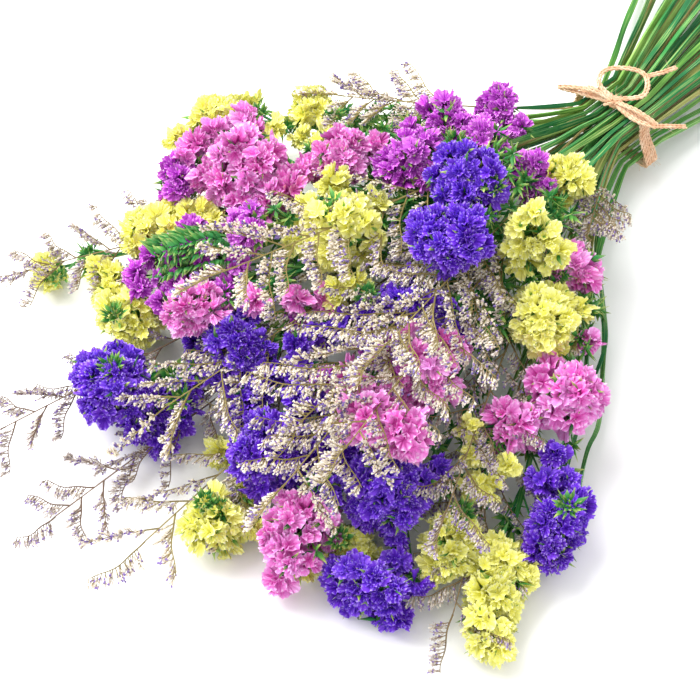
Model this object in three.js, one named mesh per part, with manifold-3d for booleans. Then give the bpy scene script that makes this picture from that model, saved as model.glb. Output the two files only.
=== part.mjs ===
// A tied bunch of dried statice and sea lavender that lies on its side.
// Millimetres. The cut ends point along +X, the flowers along -X, and +Z is up.
// The bunch is laid out round the middle of its tie, and is moved at the end so that
// the origin is under the middle of the whole bunch, on the surface it lies on.
import * as THREE from "three";
import { mergeVertices } from "three/addons/utils/BufferGeometryUtils.js";
import Module from "manifold-3d";

const wasm = await Module();
wasm.setup();

// The tie: its middle above the surface, and how far stems run straight each side of it.
const TIE_HEIGHT = 26;
const TIE_HOLD = 14;

// The stems: statice stems are winged, three-cornered and fused where they press together.
const STEM_SIDES = 3;
const STEM_RADIUS = 2.05;
const STEM_PITCH = 3.75;
const PRESSED_LENGTH = 6; // under the twine the wings of neighbours are pressed into one
const PRESSED_THICKNESS = 0.8;
const PRESSED_DROP = 0.4; // the pressed wings lie this far under the middle of their stems
const HAZE_STEM_RADIUS = 1.3;
const HAZE_STEM_PITCH = 6;
const CUT_LENGTH = 135; // from the tie to the cut ends
const CUT_LENGTH_CHANGE = 14;
const CUT_SPREAD = 2.7; // how much wider the cut ends stand than at the tie
const CUT_DRIFT = 26; // the cut ends lean this far to +Y
const FAN_EASE = 1.15; // over 1, so a stem leaves the tie straight and then fans out
const STEM_STATIONS = [0, 0.25, 0.5, 0.75, 1]; // shares of the way from the tie to the head
const HAZE_STEM_STATIONS = [0, 0.25, 0.45, 0.65, 0.82, 1];

// The flower heads.
const CORE_SIDES = 5;
const CORE_SHARE = 0.3; // core radius as a share of the half width of the head
const CORE_NECK = 0.7; // its radius at the base as a share of its largest one
const CORE_BEVEL = 1; // length of the blunt base
const CORE_BELLY = 0.45; // share of its length at which the core is widest
const ROUND_END_START = 0.4; // share of the half width by which a head's side enters its end
const FLORET_SIDES = 5;
const FLORET_RADIUS = 8.3;
const FLORET_DENT = 4;
const FLORET_COVER = 0.6; // share of the head's skin that florets cover
const FEWEST_FLORETS = 5;
const FLORET_ROOT = 0.75; // a floret's root lies this share of the half width behind its mouth
const FLORET_LEAN = 0.15; // and every floret leans this much towards the head's tip
const FLORET_SPIN_CHANGE = 9; // degrees
const FLORET_REACHES = [0.92, 1.08]; // shares of the head's half width
const FLORET_SIZES = [0.9, 1.08]; // shares of the floret's radius
const FLORET_TRIMS = [1, 0.8]; // tried in turn on the floret's size
const FLORET_TURNS = [0, 24, -24]; // tried in turn round the head's axis
const HEAD_GAP = 0.6; // between a head and the stem under it

// The sprays of sea lavender: thin combs of tiny florets on both sides of a stem.
const COMB_THICKNESS = 0.9;
const COMB_LENGTH = 52;
const COMB_TEETH = 4;
const COMB_TOOTH = 9;
const COMB_RIB = 0.9; // half the depth of the rib at its root
const COMB_BELLY = 0.4; // share of its length at which the rib is deepest
const COMB_TIP = 0.4; // bare tip past the last tooth, as a share of the teeth's pitch
const TOOTH_ROOT = 0.45; // where a tooth starts and peaks, as shares of the pitch
const TOOTH_PEAK = 0.25;
const TOOTH_TALLEST = 1.1; // share of the tooth's size at the root of the comb
const TOOTH_TAPER = 0.5; // loss of that share on the way to the tip
const COMB_ARCH = 0.2; // how far the tip bends back, as a share of the length
const COMB_DROOP = 0.1; // how far it bends down
const COMB_ANGLE = 40; // between a comb and its stem, in degrees
const END_COMB_ANGLE = 6; // the comb that ends a stem
const END_COMB_ROOT = 0.985; // share of the stem's way
const COMB_SHORTENING = 0.35; // share that the combs lose on the way to the tip
const HEADING_STEP = 0.02; // share of the stem's way over which its heading is taken
const COMB_TURNS = [18, -18, 45, -45, 75, 0]; // tried in turn round the comb's rib
const COMB_TRIMS = [1, 0.8, 0.6]; // tried in turn on the comb's length

// The cup of green bracts under each head, and the crest on a head that lies turned over.
const BRACT_LENGTH = 10;
const BRACT_RADIUS = 4.4;
const BRACT_SIDES = 3;
const CREST_TEETH = 5;
const CREST_TOOTH = 5.5;
const CREST_ROOT = 0.955; // share of the stem's way at which the crest leaves it

// The twine: two wraps that cross on top, a knot, three loops and two loose ends.
const TWINE_RADIUS = 1.5;
const TWINE_SIDES = 4;
const KNOT = { x: -4, y: 1, z: 40.6, radius: 4.2, height: 5, sides: 6, rings: 4 };
// Half of the outline that a wrap follows round the bundle, as pairs of Y and Z.
const WRAP_OUTLINE = [
  [0, 40.6], [10, 40.5], [18.6, 38.5], [21.2, 28], [26.6, 18], [26, 12.2], [0, 12.8],
];
const WRAP_SLANTS = [-0.4, 0.25]; // change of X for each unit of Y
const TWINE_RUNS = [
  [[-4, 1, 41], [-9, 13, 44], [-18, 27, 42], [-13, 18, 41], [-4, 1, 40]],
  [[-4, 1, 41], [-3, -14, 44], [-1, -27, 41], [-6, -16, 41], [-4, 1, 40]],
  [[-4, 1, 42], [-2, 13, 44], [8, 17, 44], [18, 9, 44], [20, -1, 44], [8, -9, 44], [-4, 1, 42]],
  [[20, -1, 44], [29, -5, 44], [38, -7, 43]],
  [[-1, -27, 41], [6, -31, 39], [14, -35, 36]],
];

const NEIGHBOUR_GAP = 0.35;
const MERGE_DISTANCE = 1e-4;
const GROUND = { width: 2000, depth: 100 }; // a block under the surface, larger than the bunch
const GOLDEN_ANGLE = 137.508;
const RANDOM_SEED = 11;

// The rows of the bundle from the surface up: height of the row's middle from the tie's
// middle, height of its cut ends, how late its stems rise (over 1 is late), how far they
// bow up halfway, and how far its heads tilt up in degrees.
const ROWS = {
  low: { lift: -9.6, cutHeight: 0.9, rise: 1.3, bow: -2.5, headTilt: 0 },
  under: { lift: -6.1, cutHeight: 9, rise: 2.2, bow: 4, headTilt: 0 },
  middle: { lift: -3.1, cutHeight: 14.5, rise: 1.6, bow: 2, headTilt: 10 },
  between: { lift: 0.4, cutHeight: 21, rise: 1.5, bow: 3, headTilt: 0 },
  upper: { lift: 3.4, cutHeight: 26.5, rise: 1.1, bow: 0, headTilt: 14 },
  over: { lift: 6.9, cutHeight: 33, rise: 1.12, bow: 0, headTilt: 0 },
  top: { lift: 9.9, cutHeight: 39, rise: 1.0, bow: 0, headTilt: 32 },
};

const PAPER_COLOURS = {
  violet: 0x5a30c8,
  magenta: 0xa838b4,
  pink: 0xe08ad0,
  yellow: 0xf0eb7d,
};
const STEM_COLOUR = 0x2f7a45;
const HAZE_COLOUR = 0xcfc4a8;
const TWINE_COLOUR = 0xe3b98e;
const DRY_ROUGHNESS = 0.8;

// Every head of statice: colour, row, reach from the tie, bearing from the tie's axis
// in degrees (over 0 is to +Y), height of its middle, length and width. A head that lies
// turned over shows a crest of green bracts.
const HEADS = [
  ["violet", "top", 133, -5, 84, 22, 36],
  ["violet", "top", 162, -10, 78, 26, 38],
  ["violet", "low", 304, 8, 24, 40, 46],
  ["violet", "middle", 252, 4, 38, 24, 30],
  ["violet", "middle", 281, -7, 36, 30, 34],
  ["violet", "middle", 266, -19, 38, 30, 36],
  ["violet", "low", 306, -21, 16, 18, 40],
  ["violet", "low", 244, -35, 17, 44, 30],
  ["violet", "upper", 188, -11, 54, 18, 26],
  ["magenta", "top", 67, 31, 50, 12, 22],
  ["magenta", "top", 98, 23, 58, 18, 24],
  ["magenta", "top", 133, 14, 60, 16, 28],
  ["magenta", "top", 92, 7, 62, 18, 24],
  ["magenta", "middle", 248, 16, 42, 32, 28, "turned"],
  ["magenta", "upper", 217, 15, 54, 14, 24],
  ["magenta", "middle", 237, 30, 34, 14, 26],
  ["magenta", "top", 91, -11, 62, 12, 22],
  ["pink", "upper", 203, 27, 48, 38, 36],
  ["pink", "upper", 156, 24, 52, 26, 22],
  ["pink", "middle", 258, 9, 46, 28, 26],
  ["pink", "upper", 216, -17, 58, 28, 32],
  ["pink", "upper", 249, -14, 56, 26, 24],
  ["pink", "low", 300, -14, 26, 38, 30],
  ["pink", "middle", 190, -34, 40, 30, 34],
  ["pink", "upper", 122, -31, 42, 18, 24],
  ["pink", "middle", 211, -28, 34, 20, 24],
  ["yellow", "low", 212, 43, 24, 32, 26],
  ["yellow", "middle", 163, 44, 28, 20, 22],
  ["yellow", "upper", 181, 7, 58, 38, 38],
  ["yellow", "low", 257, 26, 20, 20, 22],
  ["yellow", "low", 283, 21, 14, 14, 22],
  ["yellow", "low", 281, 16, 18, 28, 28],
  ["yellow", "low", 311, 26, 9, 10, 16],
  ["yellow", "low", 314, -7, 15, 30, 28, "turned"],
  ["yellow", "low", 289, -17, 13, 14, 20, "turned"],
  ["yellow", "low", 273, -26, 20, 28, 26],
  ["yellow", "low", 282, -31, 14, 58, 26],
  ["yellow", "top", 79, -19, 56, 16, 26],
  ["yellow", "top", 132, -21, 70, 24, 34],
  ["yellow", "upper", 159, -28, 48, 34, 28],
];

// Every spray of sea lavender: row, reach of its tip, bearing, height of the tip,
// share of its reach that carries florets, and number of combs.
const HAZE = [
  ["under", 359, 11, 17, 0.34, 5],
  ["under", 362, 3, 8, 0.3, 4],
  ["under", 316, 25, 20, 0.3, 3],
  ["over", 242, 6, 82, 0.5, 5],
  ["between", 300, 2, 44, 0.45, 5],
  ["under", 344, -4, 18, 0.4, 5],
  ["over", 262, -11, 74, 0.5, 6],
  ["between", 296, -12, 56, 0.5, 5],
  ["over", 223, -13, 80, 0.45, 5],
  ["over", 277, -16, 80.5, 0.55, 6],
  ["between", 268, -25, 46, 0.5, 5],
  ["under", 302, -28, 18, 0.35, 4],
  ["over", 146, 44, 40, 0.45, 3],
  ["over", 93, -32, 46.5, 0.4, 3],
];

const UP = new THREE.Vector3(0, 0, 1);
const random = randomStream(RANDOM_SEED);

// A repeatable stream of numbers from 0 to 1.
function randomStream(seed) {
  const factor = 1664525;
  const step = 1013904223;
  let state = seed;
  return () => {
    state = (Math.imul(state, factor) + step) >>> 0;
    return state / 2 ** 32;
  };
}

function randomFrom(low, high) {
  return low + (high - low) * random();
}

function radians(degrees) {
  return THREE.MathUtils.degToRad(degrees);
}

// The level direction away from the tie on a bearing.
function outward(bearing) {
  const angle = radians(bearing);
  return new THREE.Vector3(-Math.cos(angle), Math.sin(angle), 0);
}

// A closed geometry as a solid.
function solidOf(geometry) {
  const bare = geometry.index ? geometry.toNonIndexed() : geometry.clone();
  bare.deleteAttribute("normal");
  bare.deleteAttribute("uv");
  const merged = mergeVertices(bare, MERGE_DISTANCE);
  return new wasm.Manifold(
    new wasm.Mesh({
      numProp: 3,
      vertProperties: merged.attributes.position.array,
      triVerts: new Uint32Array(merged.index.array),
    }),
  );
}

// The surface of a solid as a geometry with flat faces.
function geometryOf(solid) {
  const mesh = solid.getMesh();
  const geometry = new THREE.BufferGeometry();
  const places = new Float32Array(mesh.vertProperties);
  geometry.setAttribute("position", new THREE.BufferAttribute(places, 3));
  geometry.setIndex(new THREE.BufferAttribute(new Uint32Array(mesh.triVerts), 1));
  const faceted = geometry.toNonIndexed();
  faceted.computeVertexNormals();
  return faceted;
}

// A smooth path that is stepped at its own stations instead of at equal lengths, and
// whose section keeps its first corner towards one side.
class StationPath extends THREE.CatmullRomCurve3 {
  constructor(stations, side) {
    super(stations);
    this.side = side;
  }
  getPointAt(share, target) {
    return this.getPoint(share, target);
  }
  computeFrenetFrames(steps) {
    const shares = Array.from({ length: steps + 1 }, (_, i) => i / steps);
    const tangents = shares.map((share) => this.getTangent(share));
    const binormals = tangents.map((t) => t.clone().cross(this.side).normalize());
    const normals = tangents.map((t, i) => binormals[i].clone().cross(t).normalize());
    return { tangents, normals, binormals };
  }
}

// An even-sided outline round the path of a stem or a strand.
function roundSection(radius, sides) {
  const corners = Array.from({ length: sides }, (_, i) => {
    const angle = (2 * Math.PI * i) / sides;
    return new THREE.Vector2(radius * Math.cos(angle), radius * Math.sin(angle));
  });
  return new THREE.Shape(corners);
}

function tube(stations, radius, sides, side = UP) {
  return new THREE.ExtrudeGeometry(roundSection(radius, sides), {
    steps: stations.length - 1,
    bevelEnabled: false,
    extrudePath: new StationPath(stations, side),
  });
}

// Turns a geometry made along +Y so that it runs along a direction from a place.
function aim(geometry, place, direction) {
  const turn = new THREE.Quaternion().setFromUnitVectors(
    new THREE.Vector3(0, 1, 0),
    direction.clone().normalize(),
  );
  return geometry.applyQuaternion(turn).translate(place.x, place.y, place.z);
}

// Gives each stalk of a row its place in the tie, in the order of the bearings.
function placeInTie(stalks) {
  for (const [name, row] of Object.entries(ROWS)) {
    const inRow = stalks.filter((stalk) => stalk.row === name);
    inRow.sort((a, b) => a.bearing - b.bearing);
    inRow.forEach((stalk, i) => {
      const offset = (i - (inRow.length - 1) / 2) * stalk.pitch;
      stalk.slot = new THREE.Vector3(0, offset, TIE_HEIGHT + row.lift);
    });
  }
}

// A place on a stem between the tie and its far end, at a share of the way.
function outwardRun(stalk, end, share) {
  const { slot } = stalk;
  const { rise, bow } = ROWS[stalk.row];
  return new THREE.Vector3(
    -TIE_HOLD + (end.x + TIE_HOLD) * share,
    slot.y + (end.y - slot.y) * share ** FAN_EASE,
    slot.z + (end.z - slot.z) * share ** rise + bow * Math.sin(Math.PI * share),
  );
}

// A place on a stem between the tie and its cut end, at a share of the way.
function cutRun(stalk, length, share) {
  const { slot } = stalk;
  return new THREE.Vector3(
    TIE_HOLD + (length - TIE_HOLD) * share,
    slot.y * (1 + (CUT_SPREAD - 1) * share) + CUT_DRIFT * share,
    slot.z + (ROWS[stalk.row].cutHeight - slot.z) * share,
  );
}

// The stations of a stem from its cut end, through the tie, to its far end.
function stemStations(stalk, end, shares) {
  const length = CUT_LENGTH + randomFrom(-1, 1) * CUT_LENGTH_CHANGE;
  return [
    cutRun(stalk, length, 1),
    cutRun(stalk, length, 0),
    ...shares.map((share) => outwardRun(stalk, end, share)),
  ];
}

// The pieces that stand so far, so that later ones can be kept clear of them.
const standing = [];

function boxesMeet(a, b) {
  return [0, 1, 2].every((i) => a.min[i] < b.max[i] && b.min[i] < a.max[i]);
}

// A copy of a solid that is larger all round by about the gap.
function grown(solid) {
  const box = solid.boundingBox();
  const middle = box.min.map((low, i) => (low + box.max[i]) / 2);
  const size = Math.max(...box.min.map((low, i) => box.max[i] - low));
  const scale = 1 + (2 * NEIGHBOUR_GAP) / size;
  return solid
    .translate(middle.map((m) => -m))
    .scale(scale)
    .translate(middle);
}

function isClear(solid, owner) {
  const wide = grown(solid);
  const box = wide.boundingBox();
  return standing.every(
    (piece) =>
      piece.owner === owner ||
      !boxesMeet(piece.box, box) ||
      piece.solid.intersect(wide).isEmpty(),
  );
}

function stand(owner, solid) {
  standing.push({ owner, solid, box: solid.boundingBox() });
}

function standIfClear(owner, solid) {
  const clear = isClear(solid, owner);
  if (clear) stand(owner, solid);
  return clear;
}

// The list of heads as stalks with names, axes and bases.
function makeStalks() {
  const counts = {};
  return HEADS.map(([colour, row, reach, bearing, height, length, width, turned]) => {
    counts[colour] = (counts[colour] ?? 0) + 1;
    const tilt = radians(ROWS[row].headTilt);
    const axis = outward(bearing)
      .multiplyScalar(Math.cos(tilt))
      .addScaledVector(UP, Math.sin(tilt));
    const middle = outward(bearing).multiplyScalar(reach).setZ(height);
    const base = middle.clone().addScaledVector(axis, -length / 2);
    return {
      name: colour + "_head_" + counts[colour],
      stems: "stems_" + row,
      pitch: STEM_PITCH,
      colour, row, bearing, length, width, turned, axis, base,
    };
  });
}

function makeHaze() {
  return HAZE.map(([row, reach, bearing, height, plume, combs], i) => ({
    name: "sea_lavender_" + (i + 1),
    pitch: HAZE_STEM_PITCH,
    end: outward(bearing).multiplyScalar(reach).setZ(height),
    row, bearing, plume, combs,
  }));
}

// A spindle that the florets stand on, with its blunt base at the stem.
function headCore(stalk) {
  const { base, axis, length, width } = stalk;
  const radius = (width / 2) * CORE_SHARE;
  const profile = [
    new THREE.Vector2(0, 0),
    new THREE.Vector2(radius * CORE_NECK, CORE_BEVEL),
    new THREE.Vector2(radius, length * CORE_BELLY),
    new THREE.Vector2(0, length),
  ];
  return solidOf(aim(new THREE.LatheGeometry(profile, CORE_SIDES), base, axis));
}

// A papery funnel with a dented mouth, its point at the origin and its mouth up +Y.
function floret(length, radius) {
  const profile = [
    new THREE.Vector2(0, 0),
    new THREE.Vector2(radius, length),
    new THREE.Vector2(0, length - FLORET_DENT),
  ];
  return new THREE.LatheGeometry(profile, FLORET_SIDES);
}

// Florets cover the side and the round end of a head evenly, on a golden spiral.
function standFlorets(stalk) {
  const outer = stalk.width / 2;
  const side = Math.max(stalk.length - outer, 0) + outer * ROUND_END_START;
  const start = stalk.length - side - outer * FLORET_ROOT;
  const skin = 2 * Math.PI * outer * (side + outer);
  const mouth = Math.PI * FLORET_RADIUS ** 2;
  const count = Math.max(FEWEST_FLORETS, Math.round((FLORET_COVER * skin) / mouth));
  for (let i = 0; i < count; i++) {
    const along = ((i + 0.5) / count) * (side + outer);
    const lean = Math.asin(Math.min(1, Math.max(0, (along - side) / outer)));
    const root = stalk.base.clone().addScaledVector(stalk.axis, start + Math.min(along, side));
    const spin = i * GOLDEN_ANGLE + randomFrom(-FLORET_SPIN_CHANGE, FLORET_SPIN_CHANGE);
    const reach = outer * randomFrom(...FLORET_REACHES);
    standFloret(stalk, root, spin, lean, reach, FLORET_RADIUS * randomFrom(...FLORET_SIZES));
  }
}

// Tries a floret turned and trimmed until it is clear of all that stands.
function standFloret(stalk, root, spin, lean, reach, radius) {
  const across = new THREE.Vector3().crossVectors(stalk.axis, UP).normalize();
  for (const trim of FLORET_TRIMS) {
    for (const turn of FLORET_TURNS) {
      const direction = across
        .clone()
        .applyAxisAngle(stalk.axis, radians(spin + turn))
        .multiplyScalar(Math.cos(lean))
        .addScaledVector(stalk.axis, Math.sin(lean) + FLORET_LEAN);
      const shape = aim(floret(reach * trim, radius * trim), root, direction);
      if (standIfClear(stalk.name, solidOf(shape))) return;
    }
  }
}

// The winged stem of a head, which ends just short of the head.
function standStem(stalk) {
  const end = stalk.base.clone().addScaledVector(stalk.axis, -HEAD_GAP);
  const stations = stemStations(stalk, end, STEM_STATIONS);
  stand(stalk.stems, solidOf(tube(stations, STEM_RADIUS, STEM_SIDES)));
}

// The strip in which the wings of a row's stems are pressed together under the twine.
function standPressedWings() {
  for (const stems of new Set(stalks.map((stalk) => stalk.stems))) {
    const row = stalks.filter((stalk) => stalk.stems === stems);
    const width = (row.length - 1) * STEM_PITCH + STEM_RADIUS;
    const strip = new THREE.BoxGeometry(PRESSED_LENGTH, width, PRESSED_THICKNESS);
    strip.translate(0, 0, row[0].slot.z - PRESSED_DROP);
    stand(stems, solidOf(strip));
  }
}

// A cup of bracts round the top of a stem, open towards its head.
function standBracts(stalk) {
  const rim = stalk.base.clone().addScaledVector(stalk.axis, -HEAD_GAP);
  const root = rim.clone().addScaledVector(stalk.axis, -BRACT_LENGTH);
  const cup = new THREE.ConeGeometry(BRACT_RADIUS, BRACT_LENGTH, BRACT_SIDES);
  cup.rotateX(Math.PI).translate(0, BRACT_LENGTH / 2, 0);
  standIfClear(stalk.stems, solidOf(aim(cup, root, stalk.axis)));
}

// The outline of a comb: teeth along a rib that runs from the origin along +X, and that
// arches back from them where it has them on one side only.
function combOutline(length, teeth, tooth, bothSides) {
  const pitch = length / (teeth + COMB_TIP);
  const upper = [];
  for (let i = teeth; i > 0; i--) {
    const height = tooth * (TOOTH_TALLEST - (TOOTH_TAPER * i) / teeth);
    upper.push(new THREE.Vector2((i + TOOTH_PEAK) * pitch, height));
    if (i > 1) upper.push(new THREE.Vector2((i - TOOTH_ROOT) * pitch, COMB_RIB));
  }
  const mirrored = upper.map((p) => new THREE.Vector2(p.x, -p.y)).reverse();
  const lower = bothSides ? mirrored : [new THREE.Vector2(length * COMB_BELLY, -COMB_RIB)];
  const outline = [new THREE.Vector2(0, 0), ...lower, new THREE.Vector2(length, 0), ...upper];
  const arch = bothSides ? 0 : COMB_ARCH;
  return outline.map((p) => new THREE.Vector2(p.x, p.y - arch * bend(length, p.x)));
}

// How far a comb bends at a distance from its root, before its share of arch or droop.
function bend(length, x) {
  return length * (x / length) ** 2;
}

// A thin comb, bent down towards its tip.
function comb(length, teeth, tooth, bothSides = false) {
  const shape = new THREE.Shape(combOutline(length, teeth, tooth, bothSides));
  const blade = new THREE.ExtrudeGeometry(shape, {
    depth: COMB_THICKNESS,
    bevelEnabled: false,
  });
  const place = blade.attributes.position;
  for (let i = 0; i < place.count; i++) {
    const droop = COMB_DROOP * bend(length, place.getX(i));
    place.setZ(i, place.getZ(i) - droop - COMB_THICKNESS / 2);
  }
  return blade;
}

// Places a comb at a root, along a direction, with its teeth towards the forward side.
function placeComb(blade, root, direction, forward, turn) {
  const x = direction.clone().normalize();
  const y = forward.clone().addScaledVector(x, -forward.dot(x)).normalize();
  y.applyAxisAngle(x, turn);
  const z = new THREE.Vector3().crossVectors(x, y);
  return blade.applyMatrix4(new THREE.Matrix4().makeBasis(x, y, z).setPosition(root));
}

// The crest of bracts over a head that lies turned over.
function standCrest(stalk) {
  const root = outwardRun(stalk, stalk.base, CREST_ROOT);
  const top = stalk.base
    .clone()
    .addScaledVector(stalk.axis, stalk.length)
    .addScaledVector(UP, stalk.width / 2);
  const direction = top.clone().sub(root);
  const across = new THREE.Vector3().crossVectors(UP, stalk.axis).normalize();
  const blade = comb(direction.length(), CREST_TEETH, CREST_TOOTH, true);
  stand(stalk.stems, solidOf(placeComb(blade, root, direction, across, 0)));
}

function standHazeStem(spray) {
  const stations = stemStations(spray, spray.end, HAZE_STEM_STATIONS);
  stand(spray.name, solidOf(tube(stations, HAZE_STEM_RADIUS, STEM_SIDES)));
}

// Combs stand by turns on both sides of a spray's stem, and one ends it.
function standCombs(spray) {
  for (let i = 0; i < spray.combs; i++) {
    const last = i === spray.combs - 1;
    const share = last ? END_COMB_ROOT : 1 - spray.plume * (1 - i / (spray.combs - 1));
    const side = i % 2 ? 1 : -1;
    const root = outwardRun(spray, spray.end, share);
    const ahead = outwardRun(spray, spray.end, Math.min(1, share + HEADING_STEP));
    const forward = ahead.clone().sub(root).normalize();
    const across = new THREE.Vector3().crossVectors(forward, UP).normalize();
    const angle = radians(last ? END_COMB_ANGLE : COMB_ANGLE);
    const direction = forward
      .clone()
      .multiplyScalar(Math.cos(angle))
      .addScaledVector(across, side * Math.sin(angle));
    const length = COMB_LENGTH * (1 - COMB_SHORTENING * (i / spray.combs));
    standComb(spray.name, root, direction, last ? across : forward, length);
  }
}

// Tries a comb turned and trimmed until it is clear of all that stands.
function standComb(owner, root, direction, forward, length) {
  for (const trim of COMB_TRIMS) {
    for (const turn of COMB_TURNS) {
      const blade = comb(length * trim, COMB_TEETH, COMB_TOOTH);
      const placed = placeComb(blade, root, direction, forward, radians(turn));
      if (standIfClear(owner, solidOf(placed))) return;
    }
  }
}

// One turn of twine round the bundle, from the knot and back into it.
function wrap(slant) {
  const back = WRAP_OUTLINE.slice(0, -1).reverse();
  const outline = [...WRAP_OUTLINE, ...back.map(([y, z]) => [-y, z])];
  const stations = outline.map(([y, z]) => new THREE.Vector3(KNOT.x + slant * y, y, z));
  return tube(stations, TWINE_RADIUS, TWINE_SIDES, new THREE.Vector3(1, 0, 0));
}

function standTie() {
  const knot = new THREE.SphereGeometry(1, KNOT.sides, KNOT.rings);
  knot.scale(KNOT.radius, KNOT.radius, KNOT.height / 2);
  stand("twine_tie", solidOf(knot.translate(KNOT.x, KNOT.y, KNOT.z)));
  WRAP_SLANTS.forEach((slant) => stand("twine_tie", solidOf(wrap(slant))));
  for (const run of TWINE_RUNS) {
    const stations = run.map((place) => new THREE.Vector3(...place));
    stand("twine_tie", solidOf(tube(stations, TWINE_RADIUS, TWINE_SIDES)));
  }
}

const stalks = makeStalks();
const haze = makeHaze();
placeInTie([...stalks, ...haze]);
stalks.forEach(standStem);
standPressedWings();
standTie();
stalks.forEach((stalk) => stand(stalk.name, headCore(stalk)));
haze.forEach(standHazeStem);
stalks.filter((stalk) => stalk.turned).forEach(standCrest);
stalks.forEach(standBracts);
stalks.forEach(standFlorets);
haze.forEach(standCombs);

// One body for each owner: its pieces are joined and cut level at the surface.
const ground = new THREE.BoxGeometry(GROUND.width, GROUND.width, GROUND.depth);
const below = solidOf(ground.translate(0, 0, -GROUND.depth / 2));
function joined(owner) {
  const pieces = standing.filter((piece) => piece.owner === owner);
  const whole = wasm.Manifold.union(pieces.map((piece) => piece.solid));
  const bodies = whole.subtract(below).decompose();
  return bodies.reduce((a, b) => (a.volume() > b.volume() ? a : b));
}

function colourOf(owner) {
  if (owner.startsWith("stems")) return STEM_COLOUR;
  if (owner === "twine_tie") return TWINE_COLOUR;
  return PAPER_COLOURS[owner.split("_")[0]] ?? HAZE_COLOUR;
}

const bunch = new THREE.Group();
for (const owner of new Set(standing.map((piece) => piece.owner))) {
  const material = new THREE.MeshStandardMaterial({
    color: colourOf(owner),
    roughness: DRY_ROUGHNESS,
    metalness: 0,
  });
  const mesh = new THREE.Mesh(geometryOf(joined(owner)), material);
  mesh.name = owner;
  bunch.add(mesh);
}

// The origin is under the middle of the whole bunch.
const middle = new THREE.Box3().setFromObject(bunch).getCenter(new THREE.Vector3());
bunch.position.set(-middle.x, -middle.y, 0);
const lyingBunch = new THREE.Group();
lyingBunch.name = "statice_bunch";
lyingBunch.add(bunch);

export default lyingBunch;
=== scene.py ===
import math

import bmesh
import bpy
import numpy as np
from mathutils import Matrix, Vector


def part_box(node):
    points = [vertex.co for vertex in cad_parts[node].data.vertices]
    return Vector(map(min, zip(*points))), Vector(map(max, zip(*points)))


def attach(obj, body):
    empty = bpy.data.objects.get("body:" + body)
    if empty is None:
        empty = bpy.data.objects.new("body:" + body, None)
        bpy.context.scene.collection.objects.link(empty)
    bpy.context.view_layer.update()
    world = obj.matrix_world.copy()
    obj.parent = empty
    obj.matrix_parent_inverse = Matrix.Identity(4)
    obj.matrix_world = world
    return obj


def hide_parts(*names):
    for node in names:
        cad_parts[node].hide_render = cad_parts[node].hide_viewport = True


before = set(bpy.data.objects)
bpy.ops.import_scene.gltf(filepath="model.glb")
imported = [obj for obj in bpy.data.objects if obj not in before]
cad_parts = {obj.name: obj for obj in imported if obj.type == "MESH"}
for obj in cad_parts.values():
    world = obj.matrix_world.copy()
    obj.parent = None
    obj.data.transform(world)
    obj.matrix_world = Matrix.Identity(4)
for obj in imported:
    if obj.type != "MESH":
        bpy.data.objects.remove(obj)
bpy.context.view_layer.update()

MM = 0.001
UP = np.array([0.0, 0.0, 1.0])
ALONG_X = np.array([1.0, 0.0, 0.0])
GOLDEN_ANGLE = math.radians(137.508)
TABLE_GAP = 0.15 * MM  # nothing hangs lower than this over the table
random = np.random.default_rng(23)

# The tie: its middle is the point from which stems, heads and sprays are laid out.
TIE_FROM_CORNER = np.array([19.2, 36.3]) * MM  # from the lowest corner of the twine
TIE_HEIGHT = 26 * MM
TIE_HOLD = 14 * MM  # stems run straight this far each side of it
TIE = np.array([*(np.array(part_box("twine_tie")[0])[:2] + TIE_FROM_CORNER), 0.0])

# The view of the photograph.
CAMERA_LENS = 75.0
CAMERA_DISTANCE = 729 * MM
CAMERA_ELEVATION = math.radians(55)
CAMERA_TURN = math.radians(43)  # from the picture's right to the bunch's own +X
CAMERA_AIM = np.array([-195.8, -0.9, 0]) * MM  # the picture's middle, from the tie

# The stems.
STEM_PITCH = 3.75 * MM
HAZE_STEM_PITCH = 6 * MM
CUT_LENGTH = 135 * MM
CUT_LENGTH_CHANGE = 14 * MM
CUT_SPREAD = 1.7
CUT_DRIFT = 26 * MM
FAN_EASE = 1.15
HEAD_GAP = 0.6 * MM
WING_RADIUS = 1.95 * MM
STEM_BODY = 0.62  # radius between the wings, as a share of the wings'
HAZE_STEM_RADIUS = 0.85 * MM
CUT_STATIONS = 24
TIE_STATIONS = 6
OUTWARD_STATIONS = 46

# The rows of the bundle from the surface up: height of the row's middle from the tie's
# middle and of its cut ends, how late its stems rise, how far they bow up halfway, and
# how far its heads tilt up in degrees. The rows that aren't layers of stems are sprays.
ROWS = {
    "low": {"lift": -9.6, "cut": 0.9, "rise": 1.3, "bow": -2.5, "tilt": 0},
    "under": {"lift": -6.1, "cut": 9, "rise": 2.2, "bow": 4, "tilt": 0},
    "middle": {"lift": -3.1, "cut": 14.5, "rise": 1.6, "bow": 2, "tilt": 10},
    "between": {"lift": 0.4, "cut": 21, "rise": 1.5, "bow": 3, "tilt": 0},
    "upper": {"lift": 3.4, "cut": 26.5, "rise": 1.1, "bow": 0, "tilt": 14},
    "over": {"lift": 6.9, "cut": 33, "rise": 1.12, "bow": 0, "tilt": 0},
    "top": {"lift": 9.9, "cut": 39, "rise": 1.0, "bow": 0, "tilt": 32},
}
LAYERS = {row: "stems_" + row for row in ("top", "upper", "middle", "low")}

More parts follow.
